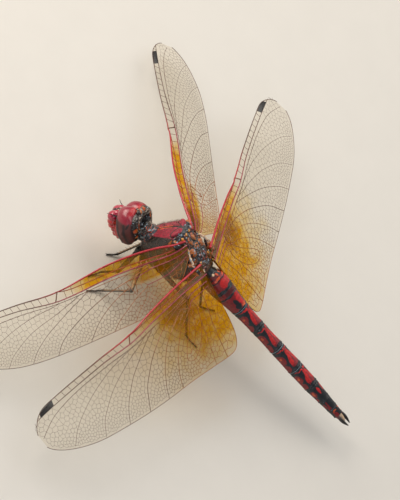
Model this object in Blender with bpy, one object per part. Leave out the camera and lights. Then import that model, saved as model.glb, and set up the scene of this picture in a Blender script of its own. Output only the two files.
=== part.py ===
"""A male red rock skimmer, a dragonfly, resting on level ground at life size.

X points to the animal's left, Y to its tail and Z up. Every shape is worked out in millimetres
about the root of the abdomen, which stands STANCE above the ground, and is turned to metres as
its mesh is made. One empty carries all the pieces and puts the origin on the ground under the
middle of the whole animal.
"""

import math

import bmesh
import bpy
from mathutils import Euler, Vector

# Driving dimensions, in millimetres and degrees
MM = 0.001
GAP = 0.3
STANCE = 11.1

HEAD_WIDTH = 8.0
HEAD_PLACE = Vector((-0.1, -14.4, -2.4))
HEAD_TURN = (50.0, -5.0, -8.0)

THORAX_SIDES = 24
THORAX_RINGS = 16
ABDOMEN_SIDES = 20
ABDOMEN_LENGTH = 34.0
ABDOMEN_DROOP = 10.5
ABDOMEN_SWING = -2.0
CERCUS_LENGTH = 2.6

FOREWING_LENGTH = 42.5
HINDWING_LENGTH = 41.0
WING_THICKNESS = 0.5
WING_CHORD_STEPS = 6
WING_SPAN_STEPS = 24

FEMUR_RADIUS = 0.42
TIBIA_RADIUS = 0.27
TARSUS_RADIUS = 0.28
FOOT_LEVEL = -STANCE + 0.19
LEG_SIDES = 8

# Distances along the abdomen from its root to the end of each of its ten segments
SEGMENT_ENDS = (0.9, 3.6, 8.2, 12.8, 17.8, 22.6, 26.8, 30.1, 32.3, ABDOMEN_LENGTH)

# Outline of the trunk from front to back: y, top, bottom and half width
TRUNK_OUTLINE = (
    (-11.35, -1.3, -4.0, 1.55),
    (-10.8, 0.9, -5.0, 2.15),
    (-9.8, 3.2, -5.7, 2.75),
    (-8.9, 4.5, -5.9, 3.1),
    (-7.8, 4.3, -5.9, 3.3),
    (-6.5, 3.9, -5.6, 3.4),
    (-5.0, 3.4, -5.0, 3.3),
    (-3.6, 2.95, -4.5, 3.0),
    (-2.0, 2.4, -3.7, 2.6),
    (-0.9, 1.95, -2.6, 2.1),
    (-0.35, 1.6, -2.0, 1.7),
)

# Half width and half height of the abdomen at distances from its root
ABDOMEN_OUTLINE = (
    (0.0, 1.5, 1.75),
    (0.9, 1.85, 2.1),
    (2.2, 2.05, 2.2),
    (3.6, 1.95, 2.05),
    (5.6, 1.8, 1.8),
    (8.2, 1.5, 1.5),
    (12.8, 1.3, 1.3),
    (17.8, 1.32, 1.3),
    (22.6, 1.42, 1.3),
    (26.8, 1.36, 1.24),
    (30.1, 1.14, 1.03),
    (32.3, 0.92, 0.84),
    (34.0, 0.78, 0.7),
)

# Each wing: root, sweep forward, droop below level, pitch of the rear edge down,
# lift of the tip out of the root's plane, and twist of the tip out of the pitch
WING_POSES = {
    "wing_fore_left": (Vector((2.59, -7.93, 3.39)), 31.6, 21.5, 17.0, 15.0, 17.0),
    "wing_fore_right": (Vector((-2.59, -7.93, 3.39)), 28.0, 18.5, 16.0, 4.0, 12.0),
    "wing_hind_left": (Vector((3.47, -2.96, 2.52)), 9.5, 9.0, 20.0, -4.0, 14.0),
    "wing_hind_right": (Vector((-3.47, -2.96, 2.52)), 4.0, 12.0, 20.0, 3.0, 14.0),
}

# Front and rear edge of each wing behind the line of its front root, at parts of its length
FOREWING_EDGES = (
    (-0.03, 0.0, 3.2),
    (0.02, -0.1, 5.6),
    (0.08, -0.6, 8.0),
    (0.17, -1.0, 9.0),
    (0.3, -1.0, 9.3),
    (0.52, 0.0, 9.5),
    (0.7, -0.6, 9.2),
    (0.88, -0.9, 8.0),
    (1.0, -0.6, 7.0),
)
HINDWING_EDGES = (
    (-0.03, 0.0, 15.0),
    (0.04, -0.15, 15.6),
    (0.15, -0.35, 14.8),
    (0.3, -0.3, 13.5),
    (0.43, 0.0, 12.6),
    (0.6, -0.6, 11.2),
    (0.87, -1.1, 8.6),
    (1.0, -0.8, 7.4),
)
# Where the rounding of each wing's front and rear edge starts towards the tip, and where that
# of its rear edge starts towards the root, as parts of its length; where its tip and root lie
FOREWING_ENDS = {"front_from": 0.9, "rear_from": 0.76, "tip_at": 2.6, "root_to": 0.17, "root_at": 1.6}
HINDWING_ENDS = {"front_from": 0.89, "rear_from": 0.74, "tip_at": 2.9, "root_to": 0.05, "root_at": 2.4}
ROOT_REACH = 1.5

# Each leg from hip to knee, ankle and toe
LEG_JOINTS = {
    "leg_fore_left": ((1.6, -10.4, -5.2), (6.7, -11.2, -6.5), (5.6, -12.4, -10.5), (7.8, -13.8, -11.1)),
    "leg_mid_left": ((1.8, -9.0, -5.6), (8.9, -7.9, -5.3), (8.4, -10.6, -10.5), (10.3, -12.7, -11.1)),
    "leg_hind_left": ((1.5, -6.9, -5.3), (3.4, 0.5, -4.1), (3.9, 5.4, -10.5), (4.1, 8.0, -11.1)),
    "leg_fore_right": ((-1.6, -10.4, -5.2), (-3.7, -9.3, -8.4), (0.7, -11.8, -10.5), (1.8, -13.1, -11.1)),
    "leg_mid_right": ((-1.8, -9.0, -5.6), (-7.6, -5.6, -5.2), (-8.6, -7.4, -10.5), (-9.2, -9.9, -11.1)),
    "leg_hind_right": ((-1.5, -6.9, -5.3), (-3.9, 0.3, -4.2), (-2.7, 4.9, -10.5), (-4.3, 7.4, -11.1)),
}

SIDES = {"left": 1, "right": -1}
AHEAD = Vector((0, -1, 0))
LEFT = Vector((1, 0, 0))
UP = Vector((0, 0, 1))


def through(stations, t):
    """The values at t on the smooth curve through rows of (place, value, ...)."""
    last = len(stations) - 1
    t = min(max(t, stations[0][0]), stations[last][0])
    k = next(i for i in range(last) if t <= stations[i + 1][0])
    here, there = stations[k], stations[k + 1]
    before, after = stations[max(k - 1, 0)], stations[min(k + 2, last)]
    step = there[0] - here[0]
    f = (t - here[0]) / step
    values = []
    for a, b, c, d in zip(before[1:], here[1:], there[1:], after[1:]):
        slope_in = (c - a) / (there[0] - before[0]) * step
        slope_out = (d - b) / (after[0] - here[0]) * step
        values.append(
            b * (2 * f**3 - 3 * f**2 + 1)
            + slope_in * (f**3 - 2 * f**2 + f)
            + c * (3 * f**2 - 2 * f**3)
            + slope_out * (f**3 - f**2)
        )
    return values


def smooth_step(t):
    """0 to 1 with soft ends as t goes from 0 to 1."""
    t = min(max(t, 0.0), 1.0)
    return t * t * (3 - 2 * t)


def power_of(value, power):
    """The value to a power, with its sign kept."""
    return math.copysign(abs(value) ** power, value)


def section(centre, across, upward, half_width, above, below, sides, squareness=2.0):
    """A ring of points, egg-shaped where it reaches further above its centre than below."""
    points = []
    for k in range(sides):
        angle = 2 * math.pi * k / sides
        x = half_width * power_of(math.cos(angle), 2 / squareness)
        reach = above if math.sin(angle) > 0 else below
        z = reach * power_of(math.sin(angle), 2 / squareness)
        points.append(centre + across * x + upward * z)
    return points


def mesh_of(name, rings):
    """A closed mesh in metres through rings of points in millimetres, with flat ends."""
    form = bmesh.new()
    loops = [[form.verts.new(point * MM) for point in ring] for ring in rings]
    count = len(rings[0])
    for near, far in zip(loops, loops[1:]):
        for k in range(count):
            n = (k + 1) % count
            form.faces.new((near[k], near[n], far[n], far[k]))
    form.faces.new(reversed(loops[0]))
    form.faces.new(loops[-1])
    bmesh.ops.recalc_face_normals(form, faces=form.faces)
    mesh = bpy.data.meshes.new(name)
    form.to_mesh(mesh)
    form.free()
    return mesh


def finish_of(name, colour, roughness, coat=0.0):
    """A Principled material; the colour is linear red, green and blue."""
    material = bpy.data.materials.get(name) or bpy.data.materials.new(name)
    material.use_nodes = True
    shader = material.node_tree.nodes["Principled BSDF"]
    shader.inputs["Base Color"].default_value = (*colour, 1.0)
    shader.inputs["Roughness"].default_value = roughness
    shader.inputs["Metallic"].default_value = 0.0
    shader.inputs["Coat Weight"].default_value = coat
    return material


def add_piece(name, mesh, material, parent):
    """One named object of the animal, shaded smooth."""
    mesh.materials.append(material)
    mesh.shade_smooth()
    mesh.set_sharp_from_angle(angle=math.radians(50))
    piece = bpy.data.objects.new(name, mesh)
    bpy.context.scene.collection.objects.link(piece)
    piece.parent = parent
    return piece


def add_cutter(name, mesh, parent):
    """A hidden guide that other pieces are cut back from."""
    cutter = bpy.data.objects.new(name, mesh)
    bpy.context.scene.collection.objects.link(cutter)
    cutter.parent = parent
    cutter.hide_render = True
    cutter.display_type = "WIRE"
    return cutter


def cut_back(piece, *cutters):
    """Takes the room of each cutter out of a piece."""
    for cutter in cutters:
        cut = piece.modifiers.new("Clear of " + cutter.name, "BOOLEAN")
        cut.operation = "DIFFERENCE"
        cut.solver = "EXACT"
        cut.object = cutter


def trunk_mesh(name, grow=0.0):
    """The winged part of the thorax: steep in front, with a broad flat back between the wings."""
    first, last = TRUNK_OUTLINE[0][0], TRUNK_OUTLINE[-1][0]
    rings = []
    for i in range(THORAX_RINGS + 1):
        t = first + (last - first) * (1 - math.cos(math.pi * i / THORAX_RINGS)) / 2
        top, bottom, half_width = through(TRUNK_OUTLINE, t)
        waist = bottom + 0.52 * (top - bottom)
        end = -grow if i == 0 else grow if i == THORAX_RINGS else 0.0
        centre = Vector((0, t + end, waist))
        reach = (half_width + grow, top - waist + grow, waist - bottom + grow)
        squareness = 2.0 + 0.8 * smooth_step((t + 10.5) / 3.0)
        rings.append(section(centre, LEFT, UP, *reach, THORAX_SIDES, squareness))
    return mesh_of(name, rings)


def collar_mesh(name, grow=0.0):
    """The small first ring of the thorax, with its raised hind lobe."""
    outline = (
        (-12.5, -1.9, -3.1, 0.75),
        (-12.2, -1.4, -3.7, 1.2),
        (-11.8, -1.0, -4.2, 1.5),
        (-11.3, -0.5, -4.3, 1.65),
        (-10.9, -0.2, -4.3, 1.65),
    )
    rings = []
    for y, top, bottom, half_width in outline:
        middle = (top + bottom) / 2
        half = (top - bottom) / 2 + grow
        centre = Vector((0, y - grow, middle))
        rings.append(section(centre, LEFT, UP, half_width + grow, half, half, 20))
    return mesh_of(name, rings)


def abdomen_axis():
    """The way the abdomen points from its root, and its own left and up."""
    turn = Euler((math.radians(-ABDOMEN_DROOP), 0, math.radians(-ABDOMEN_SWING))).to_matrix()
    return turn @ Vector((0, 1, 0)), turn @ LEFT, turn @ UP


def segment_mesh(name, start, end):
    """One segment of the abdomen, a little wider at its hind rim."""
    along, left, up = abdomen_axis()
    rings = []
    steps = 4
    for i in range(steps + 1):
        f = i / steps
        distance = start + (end - start) * f
        half_width, half_height = through(ABDOMEN_OUTLINE, distance)
        waist = 1.0 - 0.03 * math.sin(math.pi * f)
        rings.append(
            section(
                along * distance,
                left,
                up,
                half_width * waist,
                half_height * waist,
                half_height * waist * 0.95,
                ABDOMEN_SIDES,
            )
        )
    return mesh_of(name, rings)


def add_abdomen(body, red, dark):
    """Ten segments, the two claspers and the plate under them."""
    start = 0.15
    for number, end in enumerate(SEGMENT_ENDS, 1):
        name = f"abdomen_{number}"
        add_piece(name, segment_mesh(name, start, end), dark if number in (1, 8, 9, 10) else red, body)
        start = end + GAP
    along, left, up = abdomen_axis()
    for side, sign in SIDES.items():
        name = "cercus_" + side
        rings = []
        for f, half in ((0.0, 0.25), (0.15, 0.3), (0.5, 0.3), (0.8, 0.27), (1.0, 0.25)):
            spread = 0.42 + 0.22 * math.sin(math.pi * f)
            distance = ABDOMEN_LENGTH + GAP + f * (CERCUS_LENGTH - GAP)
            centre = along * distance + left * sign * spread + up * (0.2 + 0.1 * f)
            rings.append(section(centre, left, up, half, half, half, 8))
        add_piece(name, mesh_of(name, rings), dark, body)
    rings = []
    for f, half in ((0.0, 0.45), (0.5, 0.38), (1.0, 0.25)):
        centre = along * (ABDOMEN_LENGTH + GAP + 1.3 * f) - up * (0.42 - 0.12 * f)
        rings.append(section(centre, left, up, half, 0.26, 0.26, 10))
    add_piece("epiproct", mesh_of("epiproct", rings), dark, body)


def drawn_in(part, start, end, power):
    """What is left of an edge's reach as it rounds off from start to end."""
    f = min(max((part - start) / (end - start), 0.0), 1.0)
    return max(1 - f**power, 0.0) ** (1 / power)


def wing_edges(edges, ends, part):
    """Front and rear edge at a part of the wing's length, drawn in to a point at both ends."""
    front, rear = through(edges, part)
    if part < ends["root_to"]:
        root_at = ends["root_at"]
        return front, root_at + (rear - root_at) * drawn_in(part, ends["root_to"], edges[0][0], 2.6)
    tip_at = ends["tip_at"]
    front = tip_at + (front - tip_at) * drawn_in(part, ends["front_from"], 1.0, 2.2)
    rear = tip_at + (rear - tip_at) * drawn_in(part, ends["rear_from"], 1.0, 2.2)
    return front, rear


def wing_mesh(name, length, edges, ends, side, lift, twist):
    """A thin blade along X from the wing's root, its rear edge along +Y, curved up to its tip."""
    rings = []
    spar = Vector((-ROOT_REACH, 0, 0))
    reach = -ROOT_REACH
    root = edges[0][0]
    for i in range(WING_SPAN_STEPS + 1):
        f = (1 - math.cos(math.pi * (i + 0.35) / (WING_SPAN_STEPS + 0.7))) / 2
        distance = -ROOT_REACH + (length + ROOT_REACH) * f
        part = distance / length
        bend = math.radians(lift) * smooth_step((part - 0.25) / 0.6)
        spar = spar + (distance - reach) * Vector((math.cos(bend), 0, math.sin(bend)))
        reach = distance
        inboard = root + (part + ROOT_REACH / length) / (1 + ROOT_REACH / length) * (1 - root)
        front, rear = wing_edges(edges, ends, inboard)
        roll = math.radians(twist) * smooth_step(part)
        chord = Vector((0, math.cos(roll), math.sin(roll)))
        normal = Vector((-math.sin(bend), 0, math.cos(bend)))
        top, bottom = [], []
        for j in range(WING_CHORD_STEPS + 1):
            place = spar + chord * (front + (rear - front) * j / WING_CHORD_STEPS)
            half = WING_THICKNESS / 2
            top.append(place + normal * half)
            bottom.append(place - normal * half)
        ring = top + bottom[::-1]
        rings.append([Vector((side * p.x, p.y, p.z)) for p in ring])
    return mesh_of(name, rings)


def add_wings(body, membrane, trunk_room):
    """Four wings, each turned at its root by its sweep, droop and pitch."""
    for name, (root, sweep, droop, pitch, lift, twist) in WING_POSES.items():
        side = 1 if root.x > 0 else -1
        if "fore" in name:
            shape = (FOREWING_LENGTH, FOREWING_EDGES, FOREWING_ENDS)
        else:
            shape = (HINDWING_LENGTH, HINDWING_EDGES, HINDWING_ENDS)
        wing = add_piece(name, wing_mesh(name, *shape, side, lift, twist), membrane, body)
        wing.location = root * MM
        turn = (-pitch, side * droop, -side * sweep)
        wing.rotation_euler = [math.radians(angle) for angle in turn]
        cut_back(wing, trunk_room)


def rounded_route(corners, radii, steps=2):
    """Points and radii along a limb, with each joint turned as a curve, wider where it folds back."""
    route = [(corners[0], radii[0])]
    for k in range(1, len(corners) - 1):
        joint = corners[k]
        inward, outward = corners[k - 1] - joint, corners[k + 1] - joint
        folded = inward.normalized().dot(outward.normalized())
        reach = min(0.5 + 0.8 * max(folded + 0.3, 0.0), 0.45 * inward.length, 0.45 * outward.length)
        before, after = joint + inward.normalized() * reach, joint + outward.normalized() * reach
        for i in range(steps + 1):
            f = i / steps
            point = before * (1 - f) ** 2 + joint * 2 * f * (1 - f) + after * f**2
            size = radii[2 * k - 1] * (1 - f) + radii[2 * k] * f
            route.append((point, size))
    route.append((corners[-1], radii[-1]))
    return route


def tube_mesh(name, route, sides, ground=None):
    """A tube of round sections; a level to stand on cuts its underside flat."""
    rings = []
    across = None
    for k, (point, radius) in enumerate(route):
        before, after = route[max(k - 1, 0)][0], route[min(k + 1, len(route) - 1)][0]
        along = (after - before).normalized()
        if across is None:
            across = along.cross(UP if abs(along.z) < 0.9 else LEFT)
        across = (across - along * across.dot(along)).normalized()
        upward = across.cross(along)
        ring = section(point, across, upward, radius, radius, radius, sides)
        if ground is not None:
            for corner in ring:
                corner.z = max(corner.z, ground)
        rings.append(ring)
    return mesh_of(name, rings)


def add_legs(body, black, trunk_room):
    """Six legs, each standing on the flat underside of its foot."""
    for name, joints in LEG_JOINTS.items():
        hip, knee, ankle, toe = (Vector(joint) for joint in joints)
        heel = Vector((ankle.x, ankle.y, FOOT_LEVEL + 0.25))
        toe.z = FOOT_LEVEL
        ball = heel.lerp(toe, 0.45)
        ball.z = FOOT_LEVEL
        thigh = hip.lerp(knee, 0.25)
        radii = [0.62, 0.5, FEMUR_RADIUS, 0.31, 0.3, TIBIA_RADIUS] + [TARSUS_RADIUS] * 4
        route = rounded_route([hip, thigh, knee, heel, ball, toe], radii)
        tube = tube_mesh(name, route[::-1], LEG_SIDES, ground=-STANCE)
        leg = add_piece(name, tube, black, body)
        cut_back(leg, trunk_room)


def eye_mesh(name, side, grow=0.0):
    """One eye: a tall bulging form that meets its fellow on top and stops at the face below."""
    half_head = HEAD_WIDTH / 2
    # distance from the middle of the head, top, bottom, front and back
    outline = (
        (0.15, 2.72, 1.95, -1.2, 0.3),
        (0.5, 2.88, 1.7, -1.55, 0.75),
        (1.0, 3.0, 1.1, -1.8, 1.05),
        (1.6, 2.98, -0.9, -2.0, 1.25),
        (2.2, 2.75, -2.65, -2.05, 1.3),
        (2.8, 2.3, -2.75, -1.85, 1.2),
        (3.4, 1.55, -1.95, -1.4, 0.95),
        (3.75, 0.75, -0.95, -0.8, 0.55),
        (half_head, 0.25, -0.45, -0.4, 0.15),
    )
    rings = []
    for i in range(13):
        f = (1 - math.cos(math.pi * i / 12)) / 2
        x = outline[0][0] + (half_head - outline[0][0]) * f
        top, bottom, front, back = through(outline, x)
        end = -grow if i == 0 else grow if i == 12 else 0.0
        centre = Vector((side * (x + end), (front + back) / 2, (top + bottom) / 2))
        half_height = (top - bottom) / 2 + grow
        half_depth = (back - front) / 2 + grow
        rings.append(
            section(centre, Vector((0, 1, 0)), UP, half_depth, half_height, half_height, 18, 2.2)
        )
    return mesh_of(name, rings)


def skull_mesh(name, grow=0.0):
    """The head behind and between the eyes: hollowed behind, with the crown in front on top."""
    # y, top, bottom and half width, front to back
    outline = (
        (-2.35, 1.9, 1.35, 0.5),
        (-2.0, 2.25, 0.4, 0.8),
        (-1.6, 2.4, -1.8, 1.3),
        (-0.8, 2.45, -2.5, 2.0),
        (0.2, 2.55, -2.4, 2.6),
        (1.1, 2.5, -1.9, 3.05),
        (1.75, 2.15, -1.4, 2.9),
        (2.05, 1.5, -0.9, 2.3),
    )
    rings = []
    for y, top, bottom, half_width in outline:
        middle = (top + bottom) / 2
        half = (top - bottom) / 2
        reach = (half_width + grow, half + grow, half + grow)
        rings.append(section(Vector((0, y - grow, middle)), LEFT, UP, *reach, 20, 2.2))
    return mesh_of(name, rings)


def face_mesh(name):
    """The face from the swollen brow down over the upper lip plates."""
    # z, front, back and half width, from top to bottom
    outline = (
        (1.5, -3.5, -2.7, 0.85),
        (1.3, -3.95, -2.45, 1.4),
        (0.8, -4.25, -1.9, 1.75),
        (0.1, -4.3, -1.9, 1.85),
        (-0.6, -4.1, -1.8, 1.8),
        (-1.3, -4.15, -1.7, 1.75),
        (-2.0, -4.1, -1.6, 1.65),
        (-2.7, -3.8, -1.5, 1.4),
        (-3.25, -3.2, -1.5, 0.9),
    )
    rings = []
    for z, front, back, half_width in outline:
        centre = Vector((0, (front + back) / 2, z))
        half = (back - front) / 2
        rings.append(section(centre, LEFT, AHEAD, half_width, half, half, 18, 2.4))
    return mesh_of(name, rings)


def lip_mesh(name):
    """The broad lower lip, folded up under the head."""
    rings = []
    for y, top, bottom, half_width in (
        (-2.6, -3.6, -3.75, 0.7),
        (-1.9, -3.6, -3.95, 1.3),
        (-0.9, -3.2, -3.85, 1.5),
        (0.1, -2.85, -3.4, 1.1),
    ):
        middle = (top + bottom) / 2
        half = (top - bottom) / 2
        rings.append(section(Vector((0, y, middle)), LEFT, UP, half_width, half, half, 14))
    return mesh_of(name, rings)


def add_head(body, dark, face_red, eye_red, hollow):
    """The head and what it carries, turned together on the neck that fits its hollow back."""
    carrier = bpy.data.objects.new("head_pose", None)
    bpy.context.scene.collection.objects.link(carrier)
    carrier.parent = body
    carrier.location = HEAD_PLACE * MM
    carrier.rotation_euler = [math.radians(angle) for angle in HEAD_TURN]
    rooms = []
    for side, sign in SIDES.items():
        add_piece("eye_" + side, eye_mesh("eye_" + side, sign), eye_red, carrier)
        room = add_cutter("room_of_eye_" + side, eye_mesh("room_of_eye_" + side, sign, GAP), carrier)
        rooms.append(room)
    skull = add_piece("head", skull_mesh("head"), dark, carrier)
    cut_back(skull, *rooms, *hollow)
    face = add_piece("face", face_mesh("face"), face_red, carrier)
    cut_back(face, *rooms, add_cutter("room_of_head", skull_mesh("room_of_head", GAP), carrier))
    add_piece("labium", lip_mesh("labium"), dark, carrier)
    for side, sign in SIDES.items():
        foot = Vector((sign * 0.85, -2.75, 1.95))
        tip = foot + Vector((sign * 0.9, -1.0, 1.1))
        route = [(foot.lerp(tip, f), 0.27 - 0.02 * f) for f in (0.0, 0.3, 1.0)]
        add_piece("antenna_" + side, tube_mesh("antenna_" + side, route, 8), dark, carrier)
    return carrier


def neck_mesh(name, grow=0.0):
    """The short neck between the first ring of the thorax and the hollow of the head."""
    base, top = Vector((0, -12.8 + grow, -2.45)), Vector((-0.05, -13.4 - grow, -2.15))
    return tube_mesh(name, [(base, 0.6 + grow), (base.lerp(top, 0.5), 0.5 + grow), (top, 0.5 + grow)], 12)


def put_origin_under_middle(body):
    """Moves the whole animal so that the origin is under the middle of its outline."""
    bpy.context.view_layer.update()
    graph = bpy.context.evaluated_depsgraph_get()
    corners = []
    for piece in body.children_recursive:
        if piece.type == "MESH" and not piece.hide_render:
            seen = piece.evaluated_get(graph)
            corners += [seen.matrix_world @ vertex.co for vertex in seen.data.vertices]
    for axis in (0, 1):
        values = [corner[axis] for corner in corners]
        body.location[axis] -= (min(values) + max(values)) / 2


def main():
    for old in list(bpy.data.objects):
        bpy.data.objects.remove(old)
    body = bpy.data.objects.new("dragonfly", None)
    bpy.context.scene.collection.objects.link(body)
    body.location = (0, 0, STANCE * MM)

    red = finish_of("scarlet shell", (0.42, 0.02, 0.015), 0.35, 0.3)
    crimson = finish_of("dull crimson shell", (0.2, 0.02, 0.025), 0.55)
    dark = finish_of("black shell", (0.012, 0.011, 0.012), 0.4, 0.2)
    slate = finish_of("slate grey shell", (0.06, 0.08, 0.11), 0.5)
    face_red = finish_of("glossy red face", (0.5, 0.012, 0.01), 0.2, 0.5)
    eye_red = finish_of("wine red eye", (0.16, 0.006, 0.015), 0.12, 0.8)
    membrane = finish_of("amber membrane", (0.55, 0.28, 0.03), 0.25)
    black = finish_of("black leg", (0.015, 0.012, 0.01), 0.45)

    add_piece("thorax", trunk_mesh("thorax"), crimson, body)
    trunk_room = add_cutter("room_of_thorax", trunk_mesh("room_of_thorax", GAP), body)
    collar = add_piece("prothorax", collar_mesh("prothorax"), slate, body)
    cut_back(collar, trunk_room)
    add_piece("neck", neck_mesh("neck"), dark, body)
    hollow = [
        add_cutter("room_of_prothorax", collar_mesh("room_of_prothorax", 0.5), body),
        add_cutter("room_of_neck", neck_mesh("room_of_neck", 0.3), body),
    ]
    add_head(body, dark, face_red, eye_red, hollow)
    add_abdomen(body, red, dark)
    add_wings(body, membrane, trunk_room)
    add_legs(body, black, trunk_room)
    put_origin_under_middle(body)


main()
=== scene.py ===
"""A male red rock skimmer, a dragonfly, dressed in its visible surface at life size.

The script is laid out as an add-on and is run as a script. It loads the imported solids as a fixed
frame and puts a piece over each of them: one skin on the trunk, one on the abdomen, one on the
head, with eyes, face, legs, claspers and hair of their own, and on each wing a thin membrane and
its net of veins. Shapes are worked out in millimetres about the root of the abdomen, with X to
the animal's left, Y to its tail and Z up, and are turned to metres as each mesh is made.
"""

import math
import random

import bmesh
import bpy
import numpy as np
from mathutils import Euler, Matrix, Vector, noise
from mathutils.geometry import delaunay_2d_cdt


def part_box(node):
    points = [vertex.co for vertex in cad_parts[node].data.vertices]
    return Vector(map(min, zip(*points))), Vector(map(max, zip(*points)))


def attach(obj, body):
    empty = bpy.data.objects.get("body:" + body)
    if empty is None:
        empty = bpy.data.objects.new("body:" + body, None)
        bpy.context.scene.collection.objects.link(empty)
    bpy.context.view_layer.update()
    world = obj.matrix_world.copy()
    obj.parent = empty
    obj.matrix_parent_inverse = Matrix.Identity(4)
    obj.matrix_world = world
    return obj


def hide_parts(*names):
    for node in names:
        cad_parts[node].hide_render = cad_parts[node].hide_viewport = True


bl_info = {
    "name": "Red Rock Skimmer",
    "version": (1, 0, 0),
    "blender": (4, 5, 0),
    "location": "View3D > Sidebar > Skimmer",
    "description": "Builds the visible surface of a life-size dragonfly model",
    "category": "Object",
}

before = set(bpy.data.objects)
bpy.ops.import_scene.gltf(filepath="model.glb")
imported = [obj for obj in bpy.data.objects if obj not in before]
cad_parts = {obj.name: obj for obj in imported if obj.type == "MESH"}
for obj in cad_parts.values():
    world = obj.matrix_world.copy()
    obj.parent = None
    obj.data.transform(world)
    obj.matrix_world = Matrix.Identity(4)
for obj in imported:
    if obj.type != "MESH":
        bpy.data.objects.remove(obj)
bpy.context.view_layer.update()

MM = 0.001
# Height of the abdomen's root over the floor, and how far behind the trunk's end it lies, in mm
STANCE = 11.1
TRUNK_END = 0.35
trunk_low, trunk_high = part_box("thorax")
ROOT = Vector(((trunk_low.x + trunk_high.x) / 2, trunk_high.y + TRUNK_END * MM, STANCE * MM))

# Place of the head's middle in mm and its turn in degrees: nose down and a little to its right
HEAD_PLACE = Vector((-0.1, -14.4, -2.4))
HEAD_TURN = (50.0, -5.0, -8.0)

# Lengths in mm along the abdomen, and how far it droops and swings aside in degrees
ABDOMEN_LENGTH = 34.0
ABDOMEN_DROOP = 10.5
ABDOMEN_SWING = -2.0
CERCUS_LENGTH = 2.6
SEGMENT_ENDS = (0.9, 3.6, 8.2, 12.8, 17.8, 22.6, 26.8, 30.1, 32.3, ABDOMEN_LENGTH)

# Outline of the trunk from front to back: y, top, bottom and half width
TRUNK_OUTLINE = (
    (-11.35, -1.3, -4.0, 1.55), (-10.8, 0.9, -5.0, 2.15), (-9.8, 3.2, -5.7, 2.75), (-8.9, 4.5, -5.9, 3.1),
    (-7.8, 4.3, -5.9, 3.3), (-6.5, 3.9, -5.6, 3.4), (-5.0, 3.4, -5.0, 3.3), (-3.6, 2.95, -4.5, 3.0),
    (-2.0, 2.4, -3.7, 2.6), (-0.9, 1.95, -2.6, 2.1), (-0.35, 1.6, -2.0, 1.7),
)

# Half width and half height of the abdomen at distances from its root
ABDOMEN_OUTLINE = (
    (0.0, 1.5, 1.75), (0.9, 1.85, 2.1), (2.2, 2.05, 2.2), (3.6, 1.95, 2.05), (5.6, 1.8, 1.8),
    (8.2, 1.5, 1.5), (12.8, 1.3, 1.3), (17.8, 1.32, 1.3), (22.6, 1.42, 1.3), (26.8, 1.36, 1.24),
    (30.1, 1.14, 1.03), (32.3, 1.0, 0.9), (34.0, 0.9, 0.78),
)

# Each wing: root, sweep forward, droop, pitch, lift and twist of the tip, and how far its rear
# corner reaches in beside the abdomen
WING_POSES = {
    "wing_fore_left": (Vector((2.59, -7.93, 3.39)), 31.6, 21.5, 17.0, 15.0, 17.0, 0.0),
    "wing_fore_right": (Vector((-2.59, -7.93, 3.39)), 28.0, 18.5, 16.0, 4.0, 12.0, 0.0),
    "wing_hind_left": (Vector((3.47, -2.96, 2.52)), 9.5, 9.0, 20.0, -4.0, 14.0, 0.0),
    "wing_hind_right": (Vector((-3.47, -2.96, 2.52)), 4.0, 12.0, 20.0, 3.0, 14.0, 1.3),
}
# How far each wing's root runs into the trunk's side, in mm
ROOT_REACH = 1.5

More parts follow.
